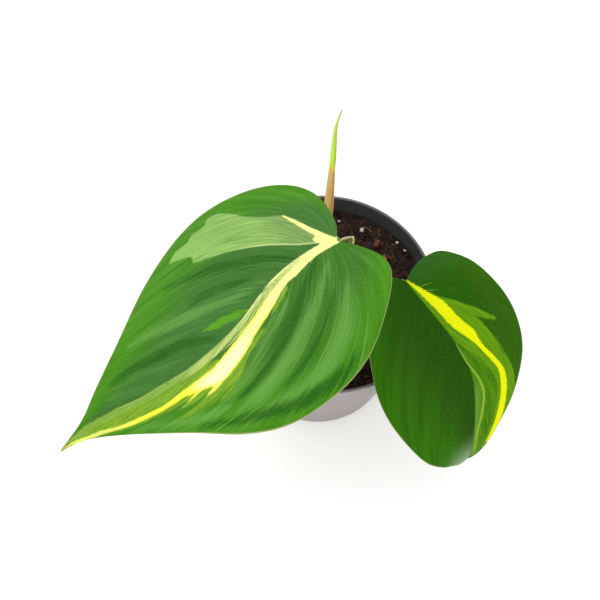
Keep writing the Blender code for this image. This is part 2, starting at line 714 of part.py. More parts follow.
def make_plant():
    stem = stem_path()
    roots = [root_path(stem, i) for i in range(len(ROOT_HEADINGS))]
    make_soil(material("soil", (0.020, 0.013, 0.010), 0.95), stem, roots)
    tube("old_stem", stem, stem_radii(), STEM_SIDES, material("old_stem", (0.20, 0.19, 0.08), 0.6))
    root_skin = material("root", (0.45, 0.33, 0.20), 0.8)
    for i, path in enumerate(roots):
        tube(f"root_{i + 1}", path, root_radii(), ROOT_SIDES, root_skin)
    stalk_green = material("stalk", (0.10, 0.22, 0.04), 0.4)
    shoot = shoot_path(stem)
    tube("shoot", shoot, shoot_radii(), STEM_SIDES, stalk_green)
    make_leaves(shoot, material("leaf", (0.04, 0.20, 0.02), 0.35), stalk_green)
    make_spear(shoot, material("sheath", (0.50, 0.30, 0.12), 0.6),
               material("rolled_leaf", (0.35, 0.60, 0.05), 0.4))


clear_scene()
make_pot()
make_plant()
make_perlite(material("perlite", (0.85, 0.84, 0.80), 0.9))
make_bark(material("bark", (0.16, 0.07, 0.035), 0.9))
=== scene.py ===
# %% [markdown]
# # A potted philodendron
# The real thing is a young cutting: a cut piece of old stem stands in a thin nursery pot, and a side
# shoot from it carries two heart-shaped leaves and a new leaf still rolled in its sheath. The packed
# model already holds every piece at its real size. This script only makes the fine surfaces, so it
# begins by loading that model and keeping its outer box to measure against at the end.

import math
import random

import bmesh
import bpy
import numpy as np
from mathutils import Matrix, Vector, noise


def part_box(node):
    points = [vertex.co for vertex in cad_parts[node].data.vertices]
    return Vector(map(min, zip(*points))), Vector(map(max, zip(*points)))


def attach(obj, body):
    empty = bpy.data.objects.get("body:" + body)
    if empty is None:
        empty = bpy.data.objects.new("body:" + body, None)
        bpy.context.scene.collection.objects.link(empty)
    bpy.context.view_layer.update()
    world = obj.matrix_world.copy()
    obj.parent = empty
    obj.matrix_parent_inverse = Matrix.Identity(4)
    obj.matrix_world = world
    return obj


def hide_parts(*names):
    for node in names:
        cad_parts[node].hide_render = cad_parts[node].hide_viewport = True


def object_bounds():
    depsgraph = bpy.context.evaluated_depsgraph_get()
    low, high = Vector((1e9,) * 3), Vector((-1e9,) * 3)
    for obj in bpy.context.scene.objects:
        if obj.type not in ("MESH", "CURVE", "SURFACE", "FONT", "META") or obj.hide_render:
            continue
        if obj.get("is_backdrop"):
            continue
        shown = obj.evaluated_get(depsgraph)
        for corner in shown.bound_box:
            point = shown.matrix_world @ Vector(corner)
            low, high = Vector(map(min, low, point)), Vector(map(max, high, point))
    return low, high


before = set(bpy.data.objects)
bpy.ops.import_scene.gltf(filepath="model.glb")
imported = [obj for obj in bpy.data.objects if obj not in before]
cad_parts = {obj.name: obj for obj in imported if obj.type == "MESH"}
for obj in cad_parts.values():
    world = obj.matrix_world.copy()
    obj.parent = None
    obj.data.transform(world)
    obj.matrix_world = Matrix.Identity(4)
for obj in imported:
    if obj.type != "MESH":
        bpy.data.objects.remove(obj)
cad_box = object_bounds()
MM = 0.001
cad_size = cad_box[1] - cad_box[0]
print(len(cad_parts), "nodes,", " x ".join(f"{side / MM:.1f}" for side in cad_size), "mm")

# %% [markdown]
# ## Where the picture is taken from
# The plant is looked down on from the front at about two thirds of a right angle, with the camera
# turned a little about its own axis. A camera can be placed by hand or aimed with a constraint. Here
# it is placed by three turns, heading, tilt and roll, because each one can then be read as a number.

# %% Camera
EYE = Vector((0.0, -183.95, 430.62)) * MM
HEADING = math.radians(3.173)
TILT = math.radians(26.1)
ROLL = math.radians(6.4)

lens = bpy.data.cameras.new("camera")
lens.lens = 60
camera = bpy.data.objects.new("camera", lens)
camera.matrix_world = (Matrix.Translation(EYE) @ Matrix.Rotation(HEADING, 4, "Z")
                       @ Matrix.Rotation(TILT, 4, "X") @ Matrix.Rotation(ROLL, 4, "Z"))
bpy.context.scene.collection.objects.link(camera)
bpy.context.scene.camera = camera
print("camera at", [round(c, 3) for c in EYE])

# %% [markdown]
# ## Shader maths as expressions
# A material is a graph of nodes. Linking them one by one is slow to write and hard to read, so a small
# class wraps an output socket and gives it the usual operators: `1 - mask` adds a Math node. A ready
# node group would hide the maths; written this way it stays in sight.

# %% Wire
class Wire:
    """An output socket of a material, on which sums can be written."""

    def __init__(self, finish, socket):
        self.finish = finish
        self.socket = socket

    def sum(self, operation, first, second=0.0):
        return self.finish.node("ShaderNodeMath", {"operation": operation}, {0: first, 1: second})

    def __add__(self, other):
        return self.sum("ADD", self, other)

    def __sub__(self, other):
        return self.sum("SUBTRACT", self, other)

    def __rsub__(self, other):
        return self.sum("SUBTRACT", other, self)

    def __mul__(self, other):
        return self.sum("MULTIPLY", self, other)

    __radd__ = __add__
    __rmul__ = __mul__

    def most(self, other):
        return self.sum("MAXIMUM", self, other)

    def size(self):
        return self.sum("ABSOLUTE", self)

    def wave(self):
        return self.sum("SINE", self)

    def step(self, low, high):
        """0 below low, 1 above high, and a soft step between them."""
        values = {"Value": self, "From Min": low, "From Max": high}
        return self.finish.node("ShaderNodeMapRange", {"interpolation_type": "SMOOTHSTEP"}, values)


print("Wire is ready: +, - and * each add a Math node")

# %% [markdown]
# ### A material under construction
# Every node but Math comes from one method, which takes the node's type, its settings and its inputs.
# Noise, colour mixes and bumps are short methods on top of it, so that a finish reads as a list of
# layers, from the ground colour up.

# %% Finish
class Finish:
    """A material under construction, with its Principled shader."""

    def __init__(self, name):
        self.material = bpy.data.materials.new(name)
        self.material.use_nodes = True
        self.nodes = self.material.node_tree.nodes
        self.links = self.material.node_tree.links
        self.shader = self.nodes["Principled BSDF"]

    def fill(self, node, values):
        for key, value in values.items():
            if isinstance(value, Wire):
                self.links.new(value.socket, node.inputs[key])
            else:
                node.inputs[key].default_value = value

    def node(self, kind, settings=None, values=None, output=0):
        made = self.nodes.new(kind)
        for key, setting in (settings or {}).items():
            setattr(made, key, setting)
        self.fill(made, values or {})
        return Wire(self, made.outputs[output])

    def mix(self, share, first, second):
        """A colour between two colours."""
        return self.node("ShaderNodeMix", {"data_type": "RGBA"}, {0: share, 6: first, 7: second}, 2)

    def place(self):
        return self.node("ShaderNodeTexCoord", output="Object")

    def spot(self, x, y, z=0.0):
        """A vector made of three numbers or wires."""
        return self.node("ShaderNodeCombineXYZ", {}, {0: x, 1: y, 2: z})

    def grain(self, place, scale, detail=3.0, rough=0.5):
        """Soft noise between 0 and 1."""
        values = {"Vector": place, "Scale": scale, "Detail": detail, "Roughness": rough}
        return self.node("ShaderNodeTexNoise", {}, values, "Fac")

    def attribute(self, name, output="Fac"):
        return self.node("ShaderNodeAttribute", {"attribute_name": name}, {}, output)

    def parts(self, vector):
        """The three numbers of a vector."""
        split = self.nodes.new("ShaderNodeSeparateXYZ")
        self.links.new(vector.socket, split.inputs[0])
        return [Wire(self, out) for out in split.outputs]

    def bump(self, height, depth, strength=1.0):
        return self.node("ShaderNodeBump", {}, {"Height": height, "Distance": depth, "Strength": strength})

    def surface(self, **values):
        """Feed the Principled shader: colour, roughness, bump or any socket named with underscores."""
        self.fill(self.shader, {key.replace("_", " "): value for key, value in values.items()})
        return self.material


print("Finish is ready, with a Principled shader in every material")

# %% [markdown]
# ### Colours on a screen's scale
# A colour is given on a screen's scale of 0 to 255, while shaders work in linear light, where the same
# numbers would look far too pale. Linear values could be typed in, but they are hard to judge, so this
# helper turns the given ones into them.

# %% Paint
def paint(red, green, blue):
    """A colour given from 0 to 255, as the linear colour that shaders work in."""
    shares = (red / 255, green / 255, blue / 255)
    linear = [c / 12.92 if c < 0.0405 else ((c + 0.055) / 1.055) ** 2.4 for c in shares]
    return (*linear, 1.0)


print("middle grey is", round(paint(128, 128, 128)[0], 3), "in linear light")

# %% [markdown]
# ## The floor
# A small plant is usually shown on a bright white sweep, where it throws almost no shadow. The floor is
# one wide pale plane. Bounced light alone would leave it grey under the leaves, so it also glows a
# little, as paper on a light table does.

# %% Floor
def make_floor():
    bm = bmesh.new()
    bmesh.ops.create_grid(bm, x_segments=1, y_segments=1, size=3.0)
    mesh = bpy.data.meshes.new("floor")
    bm.to_mesh(mesh)
    bm.free()
    floor = bpy.data.objects.new("floor", mesh)
    bpy.context.scene.collection.objects.link(floor)
    white = Finish("floor_white")
    mottle = white.mix(white.grain(white.place(), 3.0), paint(236, 236, 237), paint(240, 240, 240))
    mesh.materials.append(white.surface(Base_Color=mottle, Roughness=0.9, Specular_IOR_Level=0.1,
                                        Emission_Color=paint(250, 250, 248), Emission_Strength=0.28))
    floor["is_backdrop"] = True
    return floor


print("floor is", round(make_floor().dimensions.x), "m wide")

# %% [markdown]
# ## The light
# An even bright sky does most of the work, because it leaves no hard shadow. Alone it would look flat, so
# a soft panel above and to one side lays a broad sheen on the waxy leaves, and a weaker one in front
# keeps the pot from going dull. Sun lamps would be simpler, but their shadows are too crisp.

# %% Sky and panels
def panel(name, size, power, place, aim):
    light = bpy.data.lights.new(name, "AREA")
    light.shape = "SQUARE"
    light.size = size
    light.energy = power
    made = bpy.data.objects.new(name, light)
    made.location = place
    made.rotation_euler = (Vector(aim) - Vector(place)).to_track_quat("-Z", "Y").to_euler()
    bpy.context.scene.collection.objects.link(made)


sky = bpy.data.worlds.new("sky")
sky.use_nodes = True
sky.node_tree.nodes["Background"].inputs["Color"].default_value = (1.0, 1.0, 1.0, 1.0)
sky.node_tree.nodes["Background"].inputs["Strength"].default_value = 0.92
bpy.context.scene.world = sky
bpy.context.scene.view_settings.view_transform = "Standard"
panel("overhead_panel", 1.0, 4.0, (-0.35, 0.25, 0.9), (0.0, 0.0, 0.05))
panel("front_panel", 0.8, 1.5, (0.3, -0.7, 0.7), (0.0, 0.0, 0.05))
print("one sky and", len(bpy.data.lights), "panels")

# %% [markdown]
# ## Finishing a piece
# Every piece is shaped as a bmesh. It then becomes a mesh with smooth shading, except across sharp edges,
# gets its materials and is told which body it rides on, and the plain solids it stands for are hidden. One
# helper does this, so that no piece misses a step.

# %% Finishing a piece
def finish_piece(name, bm, materials, stands_for=(), sharp=math.radians(50)):
    mesh = bpy.data.meshes.new(name)
    bm.to_mesh(mesh)
    bm.free()
    mesh.shade_smooth()
    mesh.set_sharp_from_angle(angle=sharp)
    for made in materials:
        mesh.materials.append(made)
    piece = bpy.data.objects.new(name, mesh)
    bpy.context.scene.collection.objects.link(piece)
    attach(piece, "root")
    if stands_for:
        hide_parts(*stands_for)
    print(f"{name}: {len(mesh.polygons)} faces")
    return piece


print("finish_piece is ready")

# %% [markdown]
# ## Smooth curves through a few points
# Stems, leaf margins and colour marks are all drawn by a few points each. A curve object could smooth
# them, but it would have to be made, read back and removed. Here a Catmull-Rom curve is worked out in
# plain code and spaced evenly, so that a share of its length is easy to find.

# %% Smooth paths
def smooth_path(points, count):
    """Evenly spaced points on a smooth curve through the given points."""
    ends = [2 * points[0] - points[1], *points, 2 * points[-1] - points[-2]]
    dense = []
    for i in range(len(points) - 1):
        a, b, c, d = ends[i:i + 4]
        for t in (k / 16 for k in range(16)):
            dense.append(0.5 * (2 * b + (c - a) * t + (2 * a - 5 * b + 4 * c - d) * t ** 2
                                + (3 * b - a - 3 * c + d) * t ** 3))
    dense.append(points[-1].copy())
    travelled = [0.0]
    for before, after in zip(dense, dense[1:]):
        travelled.append(travelled[-1] + (after - before).length)
    path = []
    at = 0
    for k in range(count):
        goal = travelled[-1] * k / (count - 1)
        while at < len(dense) - 2 and travelled[at + 1] < goal:
            at += 1
        share = (goal - travelled[at]) / (travelled[at + 1] - travelled[at])
        path.append(dense[at].lerp(dense[at + 1], min(max(share, 0.0), 1.0)))
    return path


def along(path, share):
    """The point at a share of an evenly spaced path."""
    at = share * (len(path) - 1)
    low = min(int(at), len(path) - 2)
    return path[low] + (path[low + 1] - path[low]) * (at - low)


def widths(sizes, count):
    """Radii at count stations that run smoothly through a few sizes in millimetres, now in metres."""
    curve = smooth_path([Vector((i, size)) for i, size in enumerate(sizes)], 200)
    return [along(curve, k / (count - 1)).y * MM for k in range(count)]


print("a path from 1 to 3 passes", round(along(smooth_path([Vector((1, 0)), Vector((3, 0))], 9), 0.5).x, 2))

# %% [markdown]
# ## Tubes of changing width
# Stems, stalks and fibres are tubes. A curve with a bevel would make one quickly, but its rings can't be
# pressed or lapped later. Extruding a circle from station to station keeps every ring in reach.

# %% Lofts
def stations(path):
    """A placement matrix at each point of a path, its Z along the path, without twist."""
    placed = []
    turn = None
    for i, point in enumerate(path):
        ahead = path[min(i + 1, len(path) - 1)] - path[max(i - 1, 0)]
        if turn is None:
            turn = ahead.to_track_quat("Z", "Y")
        else:
            turn = (turn @ Vector((0, 0, 1))).rotation_difference(ahead) @ turn
        placed.append(Matrix.Translation(point) @ turn.to_matrix().to_4x4())
    return placed


def loft(bm, placed, radii, sides):
    """Extrude a circle through stations of given radii, with flat ends, and store each point's share
    of the way in an attribute, because a finish often follows the length of a stem."""
    way = bm.verts.layers.float.get("way") or bm.verts.layers.float.new("way")
    sized = [place @ Matrix.Scale(radius, 4) for place, radius in zip(placed, radii)]
    ring = bmesh.ops.create_circle(bm, cap_ends=True, segments=sides, radius=1.0, matrix=sized[0])["verts"]
    edges = list({edge for vert in ring for edge in vert.link_edges})
    for k in range(1, len(sized)):
        grown = bmesh.ops.extrude_edge_only(bm, edges=edges)["geom"]
        ring = {part for part in grown if isinstance(part, bmesh.types.BMVert)}
        loose = [part for part in grown if isinstance(part, bmesh.types.BMEdge)]
        edges = [edge for edge in loose if ring.issuperset(edge.verts)]
        bmesh.ops.transform(bm, matrix=sized[k] @ sized[k - 1].inverted(), verts=list(ring))
        for vert in ring:
            vert[way] = k / (len(sized) - 1)
    bmesh.ops.edgeloop_fill(bm, edges=edges)
    bmesh.ops.recalc_face_normals(bm, faces=bm.faces)


print("stations and loft are ready")

# %% [markdown]
# ## The pot
# A nursery pot is blown or moulded from one thin sheet: grey-brown outside, charcoal inside, with a
# small rolled bead at the rim. It could be a cylinder with a modifier, but its whole shape is one
# profile turned round, so a profile is drawn and spun. The drain holes go in with a Boolean, and the
# channels that lead from them under the foot go in the same way.

# %% Pot profile
POT_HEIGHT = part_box("pot")[1].z
RIM_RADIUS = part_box("pot")[1].x
BASE_RADIUS = 33 * MM
WALL = 0.9 * MM
FLOOR = 1.5 * MM
BEAD_REACH = 0.5 * MM
BEAD_HEIGHT = 1.8 * MM
POT_STEPS = 160
SEAM = 0.01 * MM


def wall_radius(z):
    return BASE_RADIUS + (RIM_RADIUS - BEAD_REACH - BASE_RADIUS) * z / POT_HEIGHT


def round_corner(centre, radius, first, last, steps=4):
    """Points on an arc of a profile, its angles in degrees."""
    turns = [math.radians(first + (last - first) * k / steps) for k in range(steps + 1)]
    return [(centre[0] + radius * math.cos(turn), centre[1] + radius * math.sin(turn)) for turn in turns]


def spun(profile, steps):
    bm = bmesh.new()
    corners = [bm.verts.new((radius, 0.0, height)) for radius, height in profile]
    edges = [bm.edges.new(pair) for pair in zip(corners, corners[1:])]
    bmesh.ops.spin(bm, geom=corners + edges, cent=(0, 0, 0), axis=(0, 0, 1),
                   angle=math.tau, steps=steps, use_merge=True)
    bmesh.ops.remove_doubles(bm, verts=bm.verts, dist=SEAM)
    bmesh.ops.recalc_face_normals(bm, faces=bm.faces)
    return bm


def pot_profile():
    foot = 0.8 * MM
    shoulder = POT_HEIGHT - BEAD_HEIGHT
    roll = 0.45 * MM
    outside = [(0.0, 0.0), (BASE_RADIUS - 6 * MM, 0.0)]
    outside += round_corner((wall_radius(foot) - foot, foot), foot, -90, -8)
    outside += [(wall_radius(z * MM), z * MM) for z in (8, 20, 34, 48, 60)]
    outside += [(wall_radius(shoulder - 0.5 * MM), shoulder - 0.5 * MM)]
    outside += round_corner((RIM_RADIUS - roll, shoulder + roll), roll, -60, 0)
    outside += round_corner((RIM_RADIUS - roll, POT_HEIGHT - roll), roll, 0, 90)
    inner_rim = wall_radius(POT_HEIGHT) - WALL
    inside = round_corner((inner_rim + roll, POT_HEIGHT - roll), roll, 90, 180)
    inside += [(wall_radius(z * MM) - WALL, z * MM) for z in (62, 48, 30, 12)]
    inside += [(wall_radius(FLOOR) - WALL - foot, FLOOR), (0.0, FLOOR)]
    return outside + inside


print(f"the pot's profile has {len(pot_profile())} points and reaches {RIM_RADIUS / MM:.1f} mm out")

# %% [markdown]
# ### The pot's finish
# The two colours meet on the rim's inner edge. Two materials would need the faces sorted. One can hold
# both colours: it compares a point's distance from the axis with the wall's own radius at that height.
# Cloudy tone and fine upright streaks keep it from looking new, and a dark line along the foot is painted
# shade where the pot meets the floor.

# %% Pot finish
def pot_plastic():
    skin = Finish("pot_plastic")
    x, y, z = skin.parts(skin.place())
    radius = skin.node("ShaderNodeVectorMath", {"operation": "LENGTH"}, {0: skin.spot(x, y)}, "Value")
    slope = (RIM_RADIUS - BEAD_REACH - BASE_RADIUS) / POT_HEIGHT
    inward = (z * slope) + BASE_RADIUS - radius
    rim_inside = 1 - radius.step(RIM_RADIUS - 0.75 * MM, RIM_RADIUS - 0.55 * MM)
    rim_inside = z.step(POT_HEIGHT - 1.6 * MM, POT_HEIGHT - 1.2 * MM) * rim_inside
    inner = inward.step(0.55 * MM, 0.75 * MM).most(rim_inside)
    lip = z.step(POT_HEIGHT - 0.35 * MM, POT_HEIGHT - 0.1 * MM)
    foot = 1 - z.step(0.4 * MM, 1.6 * MM)
    turn = skin.node("ShaderNodeMath", {"operation": "ARCTAN2"}, {0: y, 1: x})
    streaks = skin.grain(skin.spot(turn * 60.0, z * 40.0), 1.0, 4.0, 0.6)
    clouds = skin.grain(skin.place(), 60.0, 4.0, 0.6)
    outside = skin.mix(clouds, paint(143, 133, 134), paint(160, 151, 152))
    outside = skin.mix(streaks.step(0.55, 0.8) * 0.35, outside, paint(182, 174, 174))
    # Painted shade: the foot darkens where the pot meets the floor.
    outside = skin.mix(foot * 0.8, outside, paint(72, 66, 66))
    inside = skin.mix(clouds, paint(58, 57, 61), paint(78, 76, 81))
    inside = skin.mix(streaks.step(0.6, 0.8) * 0.3, inside, paint(84, 82, 84))
    colour = skin.mix(inner, outside, inside)
    colour = skin.mix(lip * 0.5, colour, paint(104, 102, 110))
    fine = skin.grain(skin.place(), 2600.0, 2.0)
    return skin.surface(Base_Color=colour, Roughness=0.42 + clouds * 0.2, Specular_IOR_Level=0.35,
                        Normal=skin.bump(fine + streaks * 0.5, 0.05 * MM, 0.5))


print("pot finish is ready")

# %% [markdown]
# ### The pot and its drain holes
# Water leaves through six round holes, and short grooves under the foot let it run out from beneath. The
# holes could be left out of the profile's mesh and stitched in. A Boolean cut with six cylinders and six
# bars is shorter, and it is applied at once, so that the piece is one plain mesh.

# %% Pot
HOLE_COUNT = 6
HOLE_RADIUS = 3.5 * MM
HOLE_CIRCLE = 21 * MM
FIRST_HOLE = math.radians(-68)
GROOVE = Vector((15 * MM, 4 * MM, 1.4 * MM))


def carve(target, cutter):
    """Cut one piece out of another for good, and remove the cutter."""
    tool = target.modifiers.new("cut", "BOOLEAN")
    tool.operation = "DIFFERENCE"
    tool.solver = "EXACT"
    tool.object = cutter
    bpy.context.view_layer.update()
    cut_mesh = bpy.data.meshes.new_from_object(target.evaluated_get(bpy.context.evaluated_depsgraph_get()))
    target.modifiers.clear()
    target.data = cut_mesh
    bpy.data.objects.remove(cutter)


def drain_cutter(name, cut_one):
    """One cutter that repeats a hole or a groove on every spoke of the floor."""
    bm = bmesh.new()
    for k in range(HOLE_COUNT):
        cut_one(bm, Matrix.Rotation(FIRST_HOLE + math.tau * k / HOLE_COUNT, 4, "Z"))
    mesh = bpy.data.meshes.new(name)
    bm.to_mesh(mesh)
    bm.free()
    cutter = bpy.data.objects.new(name, mesh)
    bpy.context.scene.collection.objects.link(cutter)
    return cutter


def hole(bm, spoke):
    bmesh.ops.create_cone(bm, cap_ends=True, segments=28, radius1=HOLE_RADIUS, radius2=HOLE_RADIUS,
                          depth=6 * MM, matrix=spoke @ Matrix.Translation((HOLE_CIRCLE, 0, 0)))


def groove(bm, spoke):
    middle = Matrix.Translation((HOLE_CIRCLE + GROOVE.x / 2, 0, 0))
    bmesh.ops.create_cube(bm, size=1.0, matrix=spoke @ middle @ Matrix.Diagonal((*GROOVE, 1)))


pot = finish_piece("pot_body", spun(pot_profile(), POT_STEPS), [pot_plastic()], ["pot"])
carve(pot, drain_cutter("drain_holes", hole))
carve(pot, drain_cutter("drain_grooves", groove))
pot.data.shade_smooth()
pot.data.set_sharp_from_angle(angle=math.radians(40))
print("pot after its drain holes:", len(pot.data.polygons), "faces")

# %% [markdown]
# ## The potting mix
# Potting mix is peat fibre with bark, perlite and dust, so its top is never flat. Sculpting it by hand
# would work, but it couldn't be run again. Here a fine disc is spun inside the pot and pushed up and
# down by layered noise. One rule gives the height, so that crumbs and fibres can be laid on it later.

# %% Soil surface
SOIL_LEVEL = POT_HEIGHT - 7 * MM
SOIL_RADIUS = wall_radius(SOIL_LEVEL) - WALL - 0.15 * MM
SOIL_STEPS = 144
SOIL_RINGS = 56


def soil_height(x, y):
    """The level top with a slow roll, lumps of a few millimetres and a fine crumble."""
    spot = Vector((x, y, 0.0)) / MM
    roll = 0.6 * math.sin(math.tau / 26 * spot.x + 1.0) * math.cos(math.tau / 26 * spot.y)
    lumps = noise.fractal(spot * 0.22, 1.0, 2.0, 3) * 0.55
    crumble = noise.fractal(spot * 0.9, 0.8, 2.0, 4) * 0.45
    return SOIL_LEVEL + (roll + lumps + crumble - 0.25) * MM


def soil_earth(name, pale_share):
    earth = Finish(name)
    place = earth.place()
    tone = earth.attribute("tone")
    clumps = earth.grain(place, 260.0, 6.0, 0.7)
    specks = earth.grain(place, 1500.0, 3.0, 0.6)
    colour = earth.mix(clumps.step(0.3, 0.75), paint(10, 6, 6), paint(62, 38, 30))
    colour = earth.mix(tone.step(0.45, 1.0), colour, paint(82, 46, 34))
    colour = earth.mix(specks.step(0.66, 0.80) * pale_share, colour, paint(132, 92, 62))
    return earth.surface(Base_Color=colour, Roughness=0.75 + clumps * 0.2, Specular_IOR_Level=0.25,
                         Normal=earth.bump(specks + clumps, 0.5 * MM, 0.8))


def make_soil():
    rings = [(SOIL_RADIUS * (1 - k / SOIL_RINGS), SOIL_LEVEL) for k in range(SOIL_RINGS + 1)]
    foot = wall_radius(FLOOR) - WALL - 0.9 * MM
    bm = spun([(0.0, FLOOR + 0.1 * MM), (foot, FLOOR + 0.1 * MM), *rings], SOIL_STEPS)
    for vert in bm.verts:
        if vert.co.z > SOIL_LEVEL - MM:
            vert.co.z = soil_height(vert.co.x, vert.co.y)
    return finish_piece("soil_bed", bm, [soil_earth("peat", 0.5)], ["soil"], math.pi)


make_soil()

# %% [markdown]
# ### Crumbs and lumps
# The loose bits are what makes soil read as soil. A particle system could strew them, but it would have to
# be turned into a mesh again. Each bit here is a small ball crushed by random pulls on its corners, and it
# keeps its own tone in an attribute, so that no two look stamped out.

# %% Soil crumbs
def strewn(chance):
    """A random place on the soil, evenly spread over its area."""
    radius = (SOIL_RADIUS - 1.2 * MM) * math.sqrt(chance.uniform(0.0, 1.0))
    turn = chance.uniform(0, math.tau)
    return radius * math.cos(turn), radius * math.sin(turn)


def make_crumbs(name, count, sizes, material, seed, detail=1):
    chance = random.Random(seed)
    bm = bmesh.new()
    tone = bm.verts.layers.float.new("tone")
    for _ in range(count):
        size = chance.uniform(*sizes) * chance.uniform(0.6, 1.0)
        x, y = strewn(chance)
        turn = chance.uniform(0, math.tau)
        spin = Matrix.Rotation(turn, 4, Vector([chance.uniform(-1, 1) for _ in range(3)]))
        shape = Matrix.Diagonal([size * chance.uniform(0.45, 1.0) for _ in range(3)] + [1])
        lift = soil_height(x, y) + size * chance.uniform(0.0, 0.55)
        place = Matrix.Translation((x, y, lift)) @ spin @ shape
        made = bmesh.ops.create_icosphere(bm, subdivisions=detail, radius=1.0, matrix=place)["verts"]
        shade = chance.random() ** 2.5
        centre = Vector((x, y, lift))
        for vert in made:
            vert.co = centre + (vert.co - centre) * chance.uniform(0.65, 1.05)
            vert[tone] = shade
    return finish_piece(name, bm, [material], (), math.radians(30))


make_crumbs("soil_crumbs", 1700, (0.4 * MM, 1.2 * MM), soil_earth("crumb_earth", 0.6), 7)
make_crumbs("soil_lumps", 260, (1.1 * MM, 2.3 * MM), soil_earth("lump_earth", 0.4), 8, 2)

# %% [markdown]
# ## Perlite
# Perlite is volcanic glass puffed up like popcorn: white, lumpy and full of pits, with a little soil
# stain. Each grain is a ball whose points are pushed in and out by noise, inside the box of the solid it
# stands for. A displacement modifier would do the same, with a texture to set up for each grain.

# %% Perlite
def chalky_perlite():
    chalk = Finish("perlite_chalk")
    pits = chalk.grain(chalk.place(), 1300.0, 4.0, 0.7)
    stain = chalk.grain(chalk.place(), 240.0, 3.0, 0.6)
    colour = chalk.mix(stain.step(0.38, 0.66), paint(226, 220, 212), paint(140, 116, 100))
    # Painted shade: the colour darkens in the pits, where the bump sinks.
    colour = chalk.mix(1 - pits.step(0.25, 0.45), colour, paint(120, 104, 92))
    return chalk.surface(Base_Color=colour, Roughness=0.9, Specular_IOR_Level=0.2,
                         Normal=chalk.bump(pits, 0.35 * MM, 0.9))


def make_perlite():
    chance = random.Random(9)
    nodes = sorted(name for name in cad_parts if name.startswith("perlite_"))
    bm = bmesh.new()
    for name in nodes:
        low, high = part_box(name)
        middle, half = (low + high) / 2, (high - low) / 2
        made = bmesh.ops.create_icosphere(bm, subdivisions=3, radius=1.0)["verts"]
        shift = Vector([chance.uniform(0, 40) for _ in range(3)])
        for vert in made:
            lump = noise.noise(vert.co * 1.1 + shift) * 0.5 + noise.noise(vert.co * 3.0 + shift) * 0.2
            vert.co = vert.co * (0.66 + lump) - Vector((0, 0, 0.1))
            vert.co = middle + vert.co * half
    finish_piece("perlite_grains", bm, [chalky_perlite()], nodes, math.radians(40))


make_perlite()

# %% [markdown]
# ## The roots
# The roots run through the mix and none shows at the top, so the model's own solids stay as they are. They
# still get a true skin, tan with fine rings across, because someone may lift the soil off to look.

# %% Roots
def root_skin():
    skin = Finish("root_skin")
    x, y, z = skin.parts(skin.place())
    rings = skin.grain(skin.spot(x * 300.0, y * 300.0, z * 2200.0), 1.0, 3.0)
    colour = skin.mix(rings, paint(150, 112, 72), paint(206, 176, 130))
    return skin.surface(Base_Color=colour, Roughness=0.8, Normal=skin.bump(rings, 0.15 * MM, 0.6))


skin = root_skin()
roots = [node for name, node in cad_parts.items() if name.startswith("root_")]
for root in roots:
    for slot in root.material_slots:
        slot.material = skin
print("skin on", len(roots), "roots")

# %% [markdown]
# ## Bark's finish
# Composted bark is red-brown with a few pale, freshly broken chips. Each chip carries its own tone in an
# attribute, and the finish turns only the highest tones pale. Separate materials would need sorting.

# %% Bark finish
def bark_finish():
    bark = Finish("bark_flake")
    place = bark.place()
    tone = bark.attribute("tone")
    grain = bark.grain(place, 700.0, 5.0, 0.7)
    colour = bark.mix(grain, paint(40, 20, 16), paint(100, 58, 42))
    colour = bark.mix(tone.step(0.6, 1.0), colour, paint(176, 122, 84))
    return bark.surface(Base_Color=colour, Roughness=0.85, Specular_IOR_Level=0.2,
                        Normal=bark.bump(grain, 0.4 * MM, 0.9))


print("bark finish is ready")

# %% [markdown]
# ## Bark chips
# Composted bark splits along its layers and tears at its ends. A scan would be best and a bevelled box
# the least. Here each chip is two or three thin boxes laid on each other, cut into small faces and frayed
# by pulling every corner a little. The model's eight chips keep their places and small ones lie between.

# %% Bark chips
LOOSE_CHIPS = 46


def flake(bm, place, size, chance, tone, shade):
    """A chip of two or three torn layers, each a cube that is cut finer and then frayed."""
    for layer in range(chance.choice((2, 3))):
        long, wide = size.x * chance.uniform(0.7, 1.0), size.y * chance.uniform(0.6, 1.0)
        shape = Matrix.Diagonal((long, wide, size.z * 0.5, 1))
        slip = size.x * chance.uniform(-0.1, 0.1), size.y * chance.uniform(-0.12, 0.12)
        shift = Matrix.Translation((*slip, size.z * 0.42 * layer))
        before = len(bm.verts)
        made = bmesh.ops.create_cube(bm, size=1.0, matrix=place @ shift @ shape)["verts"]
        edges = list({edge for vert in made for edge in vert.link_edges})
        bmesh.ops.subdivide_edges(bm, edges=edges, cuts=2, use_grid_fill=True)
        bm.verts.ensure_lookup_table()
        for vert in bm.verts[before:]:
            vert.co += Vector([chance.uniform(-0.1, 0.1) * size.x for _ in range(3)])
            vert[tone] = shade


